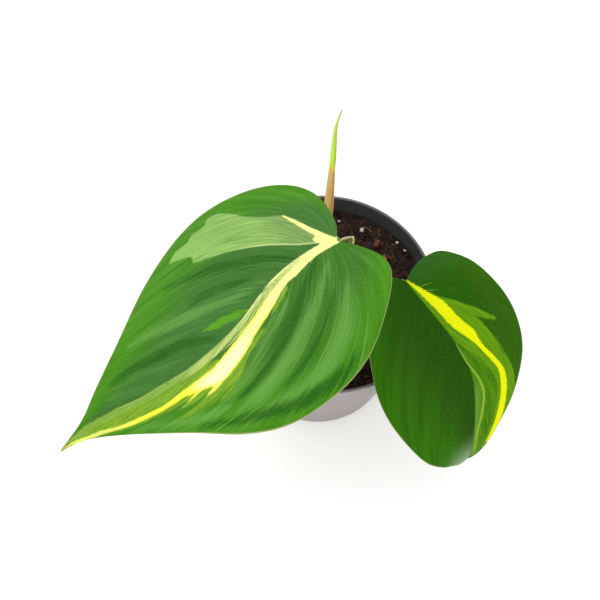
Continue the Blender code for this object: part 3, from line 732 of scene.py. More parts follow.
def make_bark():
    chance = random.Random(21)
    bm = bmesh.new()
    tone = bm.verts.layers.float.new("tone")
    nodes = sorted(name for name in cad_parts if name.startswith("bark_"))
    for name in nodes:
        low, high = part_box(name)
        room = high - low
        size = Vector((max(room.xy), min(room.xy) * 0.7, room.z))
        turn = 0.0 if room.x > room.y else math.pi / 2
        place = Matrix.Translation(((low.x + high.x) / 2, (low.y + high.y) / 2, low.z + size.z * 0.2))
        place = place @ Matrix.Rotation(turn + chance.uniform(-0.5, 0.5), 4, "Z")
        flake(bm, place, size * 0.72, chance, tone, chance.random())
    for _ in range(LOOSE_CHIPS):
        x, y = strewn(chance)
        size = Vector((chance.uniform(1.6, 3.4), chance.uniform(0.8, 1.5), chance.uniform(0.4, 0.8))) * MM
        place = Matrix.Translation((x, y, soil_height(x, y) + 0.3 * MM))
        place = place @ Matrix.Rotation(chance.uniform(0, math.tau), 4, "Z")
        place = place @ Matrix.Rotation(chance.uniform(-0.5, 0.5), 4, "X")
        flake(bm, place, size, chance, tone, chance.random())
    bmesh.ops.recalc_face_normals(bm, faces=bm.faces)
    finish_piece("bark_chips", bm, [bark_finish()], nodes, math.radians(25))


make_bark()

# %% [markdown]
# ## Peat fibres
# Peat is full of short bent hairs, most of them lying flat. Blender's hair would suit, but it isn't a
# mesh. Each fibre is a four-sided loft along a curve of three points that follow the soil's height.

# %% Peat fibres
def fibre_finish():
    fibre = Finish("peat_fibre")
    shade = fibre.attribute("tone")
    fuzz = fibre.grain(fibre.place(), 900.0, 3.0)
    colour = fibre.mix(shade, paint(52, 30, 22), paint(158, 112, 72))
    colour = fibre.mix(fuzz.step(0.4, 0.7) * 0.5, colour, paint(30, 18, 14))
    return fibre.surface(Base_Color=colour, Roughness=0.85, Normal=fibre.bump(fuzz, 0.1 * MM, 0.5))


def make_fibres(count):
    chance = random.Random(33)
    bm = bmesh.new()
    tone = bm.verts.layers.float.new("tone")
    for _ in range(count):
        x, y = strewn(chance)
        turn = chance.uniform(0, math.tau)
        reach = chance.uniform(2.0, 6.0) * MM
        side = chance.uniform(-0.3, 0.3) * reach
        lift = chance.uniform(0.3, 0.9) * MM
        points = []
        for share in (-0.5, 0.0, 0.5):
            away = reach * share
            bow = side * (1 - 4 * share * share)
            px = x + away * math.cos(turn) - bow * math.sin(turn)
            py = y + away * math.sin(turn) + bow * math.cos(turn)
            points.append(Vector((px, py, soil_height(px, py) + lift)))
        if max(point.xy.length for point in points) > SOIL_RADIUS - MM:
            continue
        thick = chance.uniform(0.07, 0.17) * MM
        before = len(bm.verts)
        taper = [thick * share for share in (0.5, 0.9, 1.0, 0.9, 0.4)]
        loft(bm, stations(smooth_path(points, len(taper))), taper, 4)
        bm.verts.ensure_lookup_table()
        shade = chance.random()
        for vert in bm.verts[before:]:
            vert[tone] = shade
    finish_piece("peat_fibres", bm, [fibre_finish()])


make_fibres(240)

# %% [markdown]
# ## The leaves' sizes and outlines
# A leaf like this grows flat and then folds along its midrib, arches, and droops at its sides, and it is
# built in the same order. A cloth simulation could droop it too, but a waxy leaf is stiff and its arch is
# its own. First come the flat outlines, as shares of the length and of each half's width, and the few
# numbers that bend each leaf: degrees of bend and curl, the fold's height and the droop of each half.

# %% Leaf sizes and outlines
LARGE_LEAF = {
    "length": 122 * MM, "left_width": 44 * MM, "right_width": 44 * MM,
    "attach": Vector((1.0, -12.4, 130)) * MM, "heading": 222, "pitch": 12, "roll": 6,
    "bend": 14, "curl": 10, "curl_from": 0.70, "fold": 2.5 * MM, "fold_width": 7 * MM,
    "left_droop": 4.0, "right_droop": 4.0, "lobe_droop": 3.0, "tip": (1.0, 0.0),
    "midrib": ((0.13, -0.008), (0.25, 0.008), (0.45, 0.050), (0.61, 0.056), (0.76, 0.034), (0.88, 0.010)),
    "left": ((-0.036, 0.14), (-0.075, 0.36), (-0.057, 0.53), (0.023, 0.74), (0.12, 0.91), (0.24, 1.00),
             (0.39, 1.00), (0.51, 0.87), (0.64, 0.60), (0.81, 0.26), (0.91, 0.09)),
    "right": ((-0.031, 0.16), (-0.033, 0.47), (0.02, 0.73), (0.12, 0.91), (0.26, 1.00), (0.39, 0.94),
              (0.53, 0.74), (0.69, 0.40), (0.81, 0.18), (0.89, 0.06)),
}
SMALL_LEAF = {
    "length": 86 * MM, "left_width": 36 * MM, "right_width": 27.5 * MM,
    "attach": Vector((29.1, -4.82, 95)) * MM, "heading": 309, "pitch": 21, "roll": 3,
    "bend": 32, "curl": 62, "curl_from": 0.70, "fold": 2.0 * MM, "fold_width": 6 * MM,
    "left_droop": 5.0, "right_droop": 7.0, "lobe_droop": 4.0, "tip": (1.0, -0.03),
    "midrib": ((0.13, 0.032), (0.28, 0.070), (0.44, 0.096), (0.58, 0.088), (0.72, 0.044), (0.86, -0.008)),
    "left": ((-0.044, 0.17), (-0.060, 0.36), (-0.040, 0.55), (0.06, 0.80), (0.22, 0.96), (0.37, 1.00),
             (0.53, 0.915), (0.69, 0.645), (0.80, 0.345), (0.90, 0.10)),
    "right": ((-0.045, 0.16), (-0.070, 0.36), (-0.030, 0.62), (0.09, 0.82), (0.24, 0.90), (0.41, 0.99),
              (0.56, 0.985), (0.70, 0.895), (0.82, 0.745), (0.885, 0.54), (0.92, 0.34)),
}
SPINE_STEPS = 80
LEAF_LINES = 130
LEAF_STEPS = 64
BLADE = 0.55 * MM
SINUS_SHARE = 0.10
VEIN_SLANT = 3.0
VEIN_BOW = 0.22
for leaf in (LARGE_LEAF, SMALL_LEAF):
    across = leaf["left_width"] + leaf["right_width"]
    print(f"a leaf {leaf['length'] / MM:.0f} mm long and {across / MM:.1f} mm wide")

# %% [markdown]
# ### Bending a flat leaf
# One rule takes any point of the flat plate to its place in the air, for both faces and both leaves. The
# arch is walked along in short steps, each a little steeper than the last, and the fold and the droop
# only lift or lower a point off that arch. A lattice or a curve modifier could bend the plate too, but
# the rule can be asked about a single point.

# %% Bending a flat leaf
def leaf_frame(leaf):
    """The leaf's own axes: X along its midrib, Y to its left, Z out of its upper face."""
    turn = (Matrix.Rotation(math.radians(leaf["heading"]), 4, "Z")
            @ Matrix.Rotation(math.radians(leaf["pitch"]), 4, "Y")
            @ Matrix.Rotation(math.radians(leaf["roll"]), 4, "X"))
    return Matrix.Translation(leaf["attach"]) @ turn


def leaf_spine(leaf):
    """Stations along the arched midrib line: (distance forward, height, slope)."""
    bend, curl = math.radians(leaf["bend"]), math.radians(leaf["curl"])
    step = leaf["length"] / SPINE_STEPS
    forward = height = 0.0
    line = []
    for k in range(SPINE_STEPS + 2):
        share = k / SPINE_STEPS
        curled = max(0.0, (share - leaf["curl_from"]) / (1 - leaf["curl_from"]))
        slope = bend * share + curl * curled ** 2
        line.append(Vector((forward, height, slope)))
        forward += step * math.cos(slope)
        height -= step * math.sin(slope)
    return line


def bent_point(leaf, spine, beside, flat):
    """Where a point of the flat plate lies once it is folded, drooped and arched."""
    droop = leaf["left_droop"] if beside > 0 else leaf["right_droop"]
    lift = leaf["fold"] * (1 - math.exp(-abs(beside) / leaf["fold_width"])) - droop * beside ** 2 + flat.z
    if flat.x < 0:
        return Vector((flat.x, flat.y, lift - leaf["lobe_droop"] * flat.x ** 2))
    share = min(flat.x / leaf["length"], 1.0) * SPINE_STEPS / (SPINE_STEPS + 1)
    forward, height, slope = along(spine, share)
    return Vector((forward + lift * math.sin(slope), flat.y, height + lift * math.cos(slope)))


print("the large leaf's arch drops", round(-leaf_spine(LARGE_LEAF)[-1].y / MM, 1), "mm by its tip")

# %% [markdown]
# ### Side veins
# The side veins leave the midrib crowded near the stalk and spread towards the margin, sweeping forward
# in a shallow bow. The mesh lines follow them, so that pleats and colours can run along them too. A plain
# square grid would be easier, but its lines would cut across every pleat.

# %% Side veins
def leaf_line(leaf, name, width, count):
    """A margin or the midrib of the flat leaf, from the attachment to the tip."""
    points = [Vector((0, 0))]
    points += [Vector((x * leaf["length"], y * width)) for x, y in leaf[name]]
    points.append(Vector(leaf["tip"]) * leaf["length"])
    return smooth_path(points, count)


def rib_side(rib, x):
    """How far to its left the midrib runs at a distance along the leaf."""
    for low, high in zip(rib, rib[1:]):
        if low.x <= x <= high.x:
            return low.y + (high.y - low.y) * (x - low.x) / (high.x - low.x)
    return 0.0 if x < 0 else rib[-1].y


def flat_point(u, v, margins, rib):
    """The flat point on side vein u (0 beside the sinus, 1 the tip) at v (-1 right to 1 left margin)."""
    margin = margins[0] if v > 0 else margins[1]
    share = abs(v)
    start = along(rib, u ** VEIN_SLANT)
    across = along(margin, SINUS_SHARE + (1 - SINUS_SHARE) * u) - start
    outwards = Vector((-abs(across.y), across.x * math.copysign(1, across.y)))
    bow = 2 * share * (1 - share) * VEIN_BOW * min(u / 0.4, 1.0)
    sinus = along(margin, SINUS_SHARE * share) - along(margin, SINUS_SHARE) * share
    return start + across * share + outwards * bow + sinus * (1 - u) ** 6


def vein_at(even):
    """The vein whose mean share of the midrib and of the margin is even, found by halving."""
    low, high = 0.0, 1.0
    for _ in range(24):
        middle = (low + high) / 2
        if (middle + middle ** VEIN_SLANT) / 2 < even:
            low = middle
        else:
            high = middle
    return (low + high) / 2


print("half way along, the vein's own number is", round(vein_at(0.5), 3))

# %% [markdown]
# ## Where the colours lie
# The yellow and cream of a variegated leaf come from patches of cells that carry no green. They start at the
# midrib and run out along the veins, so their sides are clean and their ends are ragged. They could be
# painted as a picture. Here they are brush strokes and one patch, laid out on the flat leaf.
# Each point of the mesh stores how deep it lies inside them, and the finish turns that depth into an
# edge that stays crisp at any distance.

# %% Brush strokes and patches
def stroke_depth(spots, strokes):
    """How deep each spot lies inside the nearest stroke, in millimetres, and below zero outside."""
    best = np.full(len(spots), -50.0)
    for stroke in strokes:
        fine = smooth_path([Vector(point) for point in stroke], 6 * len(stroke))
        for first, second in zip(fine, fine[1:]):
            start, across = np.array(first.xy), np.array(second.xy - first.xy)
            share = np.clip((spots - start) @ across / max(across @ across, 1e-9), 0, 1)
            gap = np.linalg.norm(spots - (start + share[:, None] * across), axis=1)
            best = np.maximum(best, first.z + (second.z - first.z) * share - gap)
    return best


def patch_depth(spots, corners):
    """The same for the inside of an outline drawn corner by corner."""
    gap = np.full(len(spots), 50.0)
    inside = np.zeros(len(spots), bool)
    for (ax, ay), (bx, by) in zip(corners, corners[1:] + corners[:1]):
        start, across = np.array((ax, ay)), np.array((bx - ax, by - ay))
        share = np.clip((spots - start) @ across / (across @ across), 0, 1)
        gap = np.minimum(gap, np.linalg.norm(spots - (start + share[:, None] * across), axis=1))
        if ay != by:
            beyond = spots[:, 0] < ax + (spots[:, 1] - ay) * (bx - ax) / (by - ay)
            inside ^= ((spots[:, 1] > ay) != (spots[:, 1] > by)) & beyond
    return np.where(inside, gap, -gap)


trial = stroke_depth(np.array([[5.0, 1.0]]), [((0, 0, 2), (10, 0, 2))])
print("a spot 1 mm off the middle of a stroke 4 mm wide lies", trial[0].round(1), "mm deep")

# %% [markdown]
# ### Cream, yellow and lime on the large leaf
# The broad cream band follows the midrib on its left and thins out to the tip, with one branch along the
# first vein and a few torn fingers. Lime lies under it and shows at its sides. Each point of a stroke is
# how far along the leaf it lies, how far to its left, and the stroke's half width, in millimetres.

# %% Cream and lime strokes
LARGE_CREAM = (
    ((0, -0.2, 1.2), (7, -1.0, 1.5), (12.5, -0.7, 1.8), (18, 0.1, 2.3), (23.3, 1.0, 2.2),
     (27, 3.0, 2.0), (34, 6.7, 2.2), (42, 10.2, 2.5), (52, 14.2, 3.3), (60, 16.0, 3.0),
     (66.9, 15.0, 1.9), (72.3, 14.2, 1.1), (80, 13.9, 0.8), (85.6, 12.8, 0.75), (91, 11.5, 0.75),
     (97.4, 9.2, 0.7), (103.8, 6.2, 0.65), (110.6, 3.6, 0.65), (116.2, 1.2, 0.5), (121, 0.1, 0.3)),
    ((0.5, -0.4, 1.2), (2.7, -3.2, 1.3), (4.6, -7.2, 1.0), (6.5, -11.5, 0.8), (8.3, -16.0, 0.6),
     (9.9, -20.2, 0.35)),
    ((2.0, -2.0, 1.3), (4.2, -3.4, 1.2), (6.0, -4.8, 0.8)),
    ((56, 17.6, 1.4), (60, 18.8, 0.9), (63, 19.7, 0.6), (67, 20.0, 0.1)),
    ((64, 16.0, 1.2), (69, 16.9, 0.6), (73, 17.6, 0.1)),
)
LARGE_LIME = (
    ((38, 12.6, 0.6), (45, 15.0, 1.2), (52, 16.8, 2.4), (58, 15.4, 4.2), (64, 13.8, 5.2),
     (72, 12.2, 4.8), (80, 11.0, 4.6), (90, 8.6, 4.4), (100, 5.2, 3.6), (108, 2.4, 2.7),
     (115, 0.9, 1.7), (120.5, 0.1, 0.9)),
    ((48, 16.4, 1.2), (52.5, 19.6, 1.2), (58.3, 22.6, 0.8), (63.5, 24.2, 0.1)),
    ((55, 19.8, 1.8), (62.2, 21.2, 1.6), (68.6, 21.5, 1.2), (78.5, 20.8, 0.1)),
    ((64, 17.8, 1.8), (70, 18.2, 1.2), (76, 18.0, 0.2)),
    ((24, 4.6, 0.8), (28, 6.9, 0.9), (31, 8.7, 0.7), (34, 10.0, 0.1)),
)
print(len(LARGE_CREAM), "cream and", len(LARGE_LIME), "lime strokes")

# %% [markdown]
# ### Painted shade in the hollows and painted sheen on the large leaf
# Between the pleats the green is deep, and on their crests it is pale and a little blue. The pleats of the
# mesh shade it somewhat, and the rest is painted into the colour: the same brush lays painted shade into the
# hollows and painted sheen onto the crests, in wide soft strokes.

# %% Painted hollow shade and sheen
# Strokes of painted shade in the hollows between the pleats.
LARGE_HOLLOW_SHADE = (
    ((10, 2.0, 0.4), (12.9, 4.0, 1.1), (20.8, 10.2, 1.8), (29.8, 16.4, 2.0), (39.4, 21.8, 1.7),
     (49.3, 25.7, 1.2), (57, 27.6, 0.3)),
    ((12.3, 16.6, 0.3), (19.7, 22.7, 0.8), (26.7, 27.0, 1.0), (34.6, 30.6, 0.9), (43.7, 33.3, 0.3)),
    ((12.8, 36.4, 0.6), (22.8, 39.6, 1.6), (33.7, 40.6, 2.2), (42.9, 39.8, 2.2), (53.4, 36.6, 1.8),
     (62.5, 33.0, 1.2), (74, 27, 0.5)),
    ((12, -1.6, 0.2), (25.2, -9.3, 1.4), (38.5, -17.3, 1.8), (48.2, -21.4, 1.2), (58, -24, 0.2)),
    ((30, -6.2, 0.2), (36, -8.2, 1.1), (45.9, -11.1, 1.0), (54, -12.8, 0.2)),
    ((52, 5.0, 0.3), (60.6, 1.0, 1.6), (71.9, -2.8, 2.0), (81.9, -5.6, 1.6), (92, -5.6, 0.4)),
)
# Strokes of painted sheen on the pleats' crests.
LARGE_SHEEN = (
    ((26.4, 9.6, 0.5), (34.8, 13.5, 1.2), (44.6, 18.8, 1.4), (54.6, 22.8, 1.2), (62, 25.0, 0.3)),
    ((8, 6.0, 0.4), (11.7, 9.4, 1.2), (18.9, 15.7, 2.0), (28.7, 22.0, 2.6), (38.0, 26.6, 2.6),
     (48.5, 30.0, 2.0), (60, 31.2, 0.6)),
    ((6, 16, 0.5), (12.2, 24.3, 2.4), (19.2, 30.4, 3.0), (29.5, 35.4, 2.8), (40.2, 36.6, 2.0),
     (51.4, 36.0, 1.0)),
    ((62, 27.6, 0.4), (68, 26.2, 1.4), (76.3, 22.8, 1.6), (86.1, 17.4, 1.0), (94, 12.4, 0.3)),
    ((29.0, -2.6, 0.3), (42.5, -4.4, 1.6), (58.8, -8.9, 2.2), (71.3, -12.6, 1.6), (80, -13.6, 0.3)),
)
print(len(LARGE_HOLLOW_SHADE), "dark and", len(LARGE_SHEEN), "pale strokes")

# %% [markdown]
# ### The sage patch and the midrib
# One patch on the right half is grey-green, with a straight side along a vein and a torn outer end, so it
# is drawn corner by corner. Thin strokes then give the midrib its pale skin, its shade and its edge, and
# one short stroke lays a fresh green blotch beside it.

# %% Patch and midrib
LARGE_SAGE = (
    (1.5, -2.5), (4.4, -8.5), (8.1, -15.5), (10.3, -20.5), (16.5, -24.8), (21.0, -29.8), (24.0, -34.6),
    (27.3, -38.4), (32.3, -40.3), (34.2, -38.2), (38.0, -37.6), (41.0, -38.4), (42.4, -36.2), (48.6, -36.4),
    (53.6, -33.8), (48.4, -31.8), (43.8, -29.2), (46.2, -26.6), (37.3, -22.8), (29.7, -19.0), (20.5, -13.3),
    (11.4, -6.3), (6.0, -3.2),
)
LARGE_STRIP = (
    ((8, -1.9, 0.3), (14, -1.9, 0.6), (20, -1.4, 0.85), (26, 0.0, 1.05), (33, 2.4, 1.2),
     (39, 4.7, 1.35), (46, 7.0, 1.5), (52, 8.1, 1.55), (60, 8.5, 1.45), (66, 8.7, 1.35), (77, 7.6, 1.3),
     (87, 6.0, 1.2), (97, 3.2, 1.1), (108, 1.0, 0.9), (118, 0.1, 0.4)),
)
LARGE_SHADE = (
    ((30, 1.6, 0.1), (33.8, 2.9, 0.2), (41.7, 6.3, 0.25), (48, 8.1, 0.28), (52, 9.1, 0.32),
     (58, 10.6, 0.3), (61.8, 11.9, 0.1)),
)
LARGE_EDGE = (
    ((4, -1.9, 0.4), (10, -2.5, 0.42), (17, -2.7, 0.4), (26, -1.3, 0.34), (33, 0.9, 0.3),
     (39, 3.1, 0.26), (46, 5.3, 0.22), (55, 6.5, 0.2), (65.8, 7.2, 0.2), (77, 6.1, 0.2),
     (87.4, 4.6, 0.18), (97, 2.0, 0.15)),
)
LARGE_BLOTCH = (
    ((38, 2.6, 0.3), (42, 1.8, 1.0), (47, 0.9, 1.4), (51, 0.4, 1.1), (56, -0.2, 0.2)),
)
print("the patch has", len(LARGE_SAGE), "corners")

# %% [markdown]
# ### Strokes on the small leaf
# The small leaf carries its colours on its left half only: a clear yellow streak inside a lime band, an
# olive field beside the midrib where green shows through, one long pale line and two hairs at the notch.

# %% Strokes on the small leaf
SMALL_YELLOW = (
    ((0, 0.4, 0.2), (4, 2.5, 0.7), (9, 5.1, 1.4), (14, 7.7, 2.1), (20, 9.7, 2.15), (25, 11.9, 2.15),
     (29, 14.2, 2.0), (32, 15.1, 1.2), (37, 16.9, 0.9), (42, 18.9, 0.9), (47, 20.5, 1.0),
     (51.5, 20.2, 1.3), (57.5, 18.2, 1.4), (62.5, 15.5, 1.4), (67, 12.1, 1.3), (70.5, 8.8, 0.9),
     (74, 5.6, 0.4)),
)
SMALL_LIME = (
    ((0, 0, 0.5), (5, 1.6, 1.4), (9, 3.3, 2.6), (14, 5.6, 4.0), (20, 8.6, 3.2), (25, 10.6, 3.8),
     (30, 13.2, 4.2), (36, 17.2, 4.2), (42, 19.6, 4.4), (48, 21.2, 4.4), (54, 21.0, 4.0),
     (60, 18.4, 4.0), (66, 14.0, 3.6), (71, 9.0, 2.6), (76, 4, 1.2)),
    ((8.5, 6.0, 0.6), (13.5, 10.8, 0.9), (18.5, 15.6, 1.4), (23, 20.3, 1.5), (26.3, 23.8, 1.1),
     (28.7, 26.3, 0.6)),
    ((12, 9.0, 1.0), (17, 12.4, 1.7), (22, 15.6, 2.0), (27, 18.2, 2.0), (33, 20.6, 1.8),
     (40, 22.6, 1.6)),
)
SMALL_OLIVE = (
    ((14, 4.0, 0.6), (22, 6.6, 1.0), (30, 9.4, 1.6), (38, 12.4, 3.6), (46, 14.0, 5.4), (52, 13.6, 6.2),
     (58, 11.0, 6.0), (65, 6.8, 5.0), (72, 2.6, 3.6), (78, -0.4, 2.0)),
)
SMALL_LINES = (
    ((30, 7.6, 0.2), (38.2, 8.6, 0.3), (43.5, 10.0, 0.36), (48.4, 10.8, 0.42), (52.9, 10.6, 0.46),
     (57.9, 8.6, 0.46), (62.8, 6.0, 0.4), (67.6, 3.0, 0.34), (76, 0.0, 0.25)),
    ((4.2, 3.0, 0.16), (4.6, 6.4, 0.16), (4.9, 10.0, 0.05)),
    ((5.4, 3.2, 0.14), (7.2, 6.6, 0.14), (8.6, 10.4, 0.05)),
)
print(len(SMALL_YELLOW + SMALL_LIME + SMALL_OLIVE + SMALL_LINES), "strokes on the small leaf")

# %% [markdown]
# ## Pleats and the midrib's ridge
# Between its side veins a leaf is softly pleated, most of all half way out, and under it the midrib stands
# proud as a round ridge. A bump in the finish would only shade them, and a low light or a look along the
# blade gives that away, so both are real relief.

# %% Pleats and ridge
RIB_RADIUS = 1.0 * MM
RIB_BELOW = 0.7 * MM
RIB_ABOVE = 0.12 * MM


def swept(u, v):
    """A vein's name once it sweeps forward on its way out, as the fine threads of the leaf do."""
    return u - 0.96 * abs(v) * u * (1 - u)


def pleat(leaf, u, v):
    """Soft folds between the side veins, in metres, deepest half way out to the margin."""
    across = math.sin(math.pi * abs(v)) ** 0.8
    side = leaf["left_pleats"] if v > 0 else leaf["right_pleats"]
    folds = math.sin(u * side[0] + 0.6) + 0.5 * math.sin(u * side[0] * 2.3 + 2.0)
    return side[1] * folds * across * min(1.0, u * 4) * (1 - u ** 5)


def ridge(leaf, beside, x, lower):
    """The midrib's relief, which thins out towards the tip."""
    height = math.exp(-(beside / RIB_RADIUS) ** 2) * (1 - 0.8 * min(max(x, 0) / leaf["length"], 1))
    return -RIB_BELOW * height if lower else RIB_ABOVE * height


print("a vein half way along ends at", swept(0.5, 1.0), "of the way it started")

# %% [markdown]
# ## Building a blade
# A grid's lines become side veins, crowded towards the midrib where the fold is tight. The plate is
# extruded to its thickness while it is still flat, when that is easy. Each point then gets its pleat, its
# ridge and the bend. The depths of the colour marks are stored last, because the finish reads them.

# %% Blade
CROWDING = 1.3
MARGIN_POINTS = 400
WELD = 0.02 * MM


def make_leaf(name, leaf, material, stands_for):
    bm = bmesh.new()
    bmesh.ops.create_grid(bm, x_segments=LEAF_LINES, y_segments=LEAF_STEPS, size=1.0)
    vein = bm.verts.layers.float_vector.new("vein")
    plan = bm.verts.layers.float_vector.new("plan")
    under = bm.verts.layers.float.new("under")
    margins = [leaf_line(leaf, "left", leaf["left_width"], MARGIN_POINTS),
               leaf_line(leaf, "right", -leaf["right_width"], MARGIN_POINTS)]
    rib = leaf_line(leaf, "midrib", leaf["length"], SPINE_STEPS + 1)
    for vert in bm.verts:
        u = vein_at((vert.co.x + 1) / 2)
        v = math.copysign(abs(vert.co.y) ** CROWDING, vert.co.y)
        flat = flat_point(u, v, margins, rib)
        vert[vein] = (swept(u, v), v, u)
        vert[plan] = (flat.x / MM, flat.y / MM, (flat.y - rib_side(rib, flat.x)) / MM)
        vert.co = (*flat, -BLADE / 2)
    bmesh.ops.remove_doubles(bm, verts=bm.verts, dist=WELD)
    made = bmesh.ops.extrude_face_region(bm, geom=bm.faces[:], use_keep_orig=True)["geom"]
    upper = [part for part in made if isinstance(part, bmesh.types.BMVert)]
    bmesh.ops.translate(bm, vec=(0, 0, BLADE), verts=upper)
    bmesh.ops.recalc_face_normals(bm, faces=bm.faces)
    spine = leaf_spine(leaf)
    place = leaf_frame(leaf)
    for vert in bm.verts:
        beside = vert[plan].z * MM
        thread, v, _ = vert[vein]
        lower = vert.co.z < 0
        vert[under] = float(lower)
        flat = vert.co.copy()
        flat.z *= 1 - 0.7 * abs(v) ** 8
        flat.z += pleat(leaf, thread, v)
        flat.z += ridge(leaf, beside, flat.x, lower)
        vert.co = place @ bent_point(leaf, spine, beside, flat)
    piece = finish_piece(name, bm, [material], [stands_for], math.pi)
    spots = np.empty(len(piece.data.vertices) * 3)
    piece.data.attributes["plan"].data.foreach_get("vector", spots)
    spots = spots.reshape(-1, 3)[:, :2]
    for mark, strokes in leaf["marks"].items():
        depth = patch_depth(spots, list(strokes)) if len(strokes[0]) == 2 else stroke_depth(spots, strokes)
        piece.data.attributes.new(mark, "FLOAT", "POINT").data.foreach_set("value", depth)
    return piece


print("make_leaf is ready")

# %% [markdown]
# ### What both leaves' finishes share
# Under its wax a leaf is fibrous: fine threads run from midrib to margin. The helpers read the vein
# attribute, so those threads fan out as they should, where noise in space would ignore the veins. The
# ragged ends of the colours come from adding such threads to the depth of each stroke.

# %% Leaf finish helpers
def threads(skin, fine, long, detail=3.0):
    """Noise that is fine across the veins and long along them."""
    u, v, _ = skin.parts(skin.attribute("vein", "Vector"))
    return skin.grain(skin.spot(u * fine, v * long), 1.0, detail, 0.6)


def ragged(skin, mark, reach, soft=0.22):
    """A stroke's mask: clean along the veins and torn across them."""
    torn = (threads(skin, 210.0, 9.0, 2.0) - 0.5) * reach
    return (skin.attribute(mark) + torn).step(-soft, soft)


def wax(skin, colour, gloss):
    """The pale thickened margin, a cellular mottle with painted sheen on its pale patches, the paler
    underside and the fine relief of the veins.
    """
    u, v, _ = skin.parts(skin.attribute("vein", "Vector"))
    x, y, _ = skin.parts(skin.attribute("plan", "Vector"))
    rim = v.size().step(0.986, 0.998)
    colour = skin.mix(rim * 0.6, colour, paint(196, 200, 128))
    fine = threads(skin, 420.0, 6.0)
    cells = skin.grain(skin.spot(x * 4.0, y * 4.0), 1.0, 3.0)
    veins = (u * 150.0).wave()
    mottle = skin.grain(skin.spot(x * 1.3, y * 1.3), 1.0, 5.0, 0.7)
    colour = skin.mix(mottle.step(0.40, 0.70) * 0.10, colour, paint(20, 50, 4))
    # Painted sheen: the mottle's pale patches, as strong as the leaf is glossy.
    colour = skin.mix((1 - mottle.step(0.30, 0.55)) * gloss * 0.6, colour, paint(160, 200, 110))
    colour = skin.mix(skin.attribute("under") * 0.5, colour, paint(128, 156, 96))
    relief = skin.bump(fine * 0.4 + cells * 0.4 + veins * 0.12, 0.12 * MM, 0.4)
    return skin.surface(Base_Color=colour, Roughness=0.40 + cells * 0.14, Specular_IOR_Level=gloss,
                        Normal=relief)


print("threads, ragged and wax are ready")

# %% [markdown]
# ### The large leaf's green
# The green is brightest at the margin and deepest beside the midrib, and greyer there on the right half:
# this is painted shading, where the blade tilts away from the light. Wide threads lay painted sheen along
# the folds and painted shade between them, and narrow ones streak the green itself. The strokes of painted
# shade in the hollows and painted sheen on the crests follow, loosened by more threads so that no edge of
# theirs shows. A single noise would look like camouflage; a leaf's colour always runs with its veins.

# %% Large leaf green
def large_green(skin, beside, out, fine):
    left = beside.step(-0.2, 0.2)
    broad = threads(skin, 26.0, 1.6, 2.0)
    # Painted shading: the margin is brighter and the green deeper beside the midrib, where the blade tilts
    # away from the light.
    green = skin.mix(out.step(0.3, 0.9), paint(52, 106, 24), paint(62, 128, 4))
    # Painted sheen along the wide threads of the folds, and painted shade between them.
    folds = (threads(skin, 62.0, 2.5, 3.0) - 0.5) * 0.8 + broad
    green = skin.mix(folds.step(0.45, 0.80) * 0.35, green, paint(106, 160, 68))
    green = skin.mix((1 - folds.step(0.25, 0.50)) * 0.4, green, paint(40, 100, 0))
    # Painted shade: a greyer tone beside the midrib on the right half.
    green = skin.mix((1 - left) * (1 - out.step(0.3, 0.8)) * 0.5, green, paint(58, 104, 50))
    loose = (threads(skin, 110.0, 3.0, 4.0) - 0.5) * 9.0
    # Painted sheen on the pleats' crests, along the sheen strokes.
    green = skin.mix((skin.attribute("sheen") + loose).step(-1.3, 1.5) * 0.45, green, paint(112, 166, 78))
    # Painted shade in the hollows between the pleats, along the dark strokes.
    green = skin.mix((skin.attribute("dark") + loose).step(-1.1, 1.1) * 0.85, green, paint(20, 82, 0))
    green = skin.mix(fine.step(0.4, 0.8) * 0.14, green, paint(112, 168, 66))
    green = skin.mix((1 - fine.step(0.25, 0.5)) * 0.22, green, paint(28, 88, 0))
    return skin.mix(ragged(skin, "blotch", 2.6) * 0.75, green, paint(88, 156, 10))


print("large green is ready")

# %% [markdown]
# ### The large leaf's sage, strip and cream
# Where green cells are few the leaf is sage, and where there are none it is cream, turning to yellow near
# the tip. Each tint is two tones drawn out along the threads, and it shifts along the leaf.

# %% Large leaf tints
def large_sage(skin, x, fine):
    sage = skin.mix(fine.step(0.3, 0.7), paint(102, 146, 66), paint(152, 190, 104))
    sage = skin.mix(x.step(26.0, 50.0) * 0.4, sage, paint(138, 190, 90))
    near_stalk = skin.mix(fine.step(0.3, 0.7), paint(84, 122, 62), paint(132, 164, 92))
    return skin.mix(1 - x.step(4.0, 24.0), sage, near_stalk)


def large_cream(skin, x, out, fine):
    cream = skin.mix(out.step(0.02, 0.4) * x.step(38.0, 50.0), paint(238, 232, 148), paint(250, 246, 186))
    cream = skin.mix(x.step(62.0, 72.0), cream, paint(240, 240, 80))
    cream = skin.mix(fine.step(0.55, 0.85) * 0.5, cream, paint(200, 208, 100))
    edge = skin.attribute("cream")
    cream = skin.mix((1 - edge.step(0.3, 1.2)) * x.step(28.0, 36.0) * 0.8, cream, paint(236, 234, 44))
    return skin.mix(x.step(84.0, 104.0) * 0.7, cream, paint(214, 224, 122))


def large_strip(skin, x, fine):
    pale = skin.mix(fine.step(0.3, 0.7), paint(140, 166, 82), paint(198, 214, 124))
    near_tip = skin.mix(fine, paint(92, 140, 44), paint(132, 172, 58))
    return skin.mix(x.step(58.0, 76.0) * 0.85, pale, near_tip)


print("sage, cream and strip are ready")

# %% [markdown]
# ### The large leaf
# The tints are laid over the green in the order they show on a real leaf: sage and its pale border, lime,
# cream, then the midrib's skin, shade and edge, and a dry brown tip. The blade itself is then built, with
# shallow pleats that are about twice as deep on its left half.

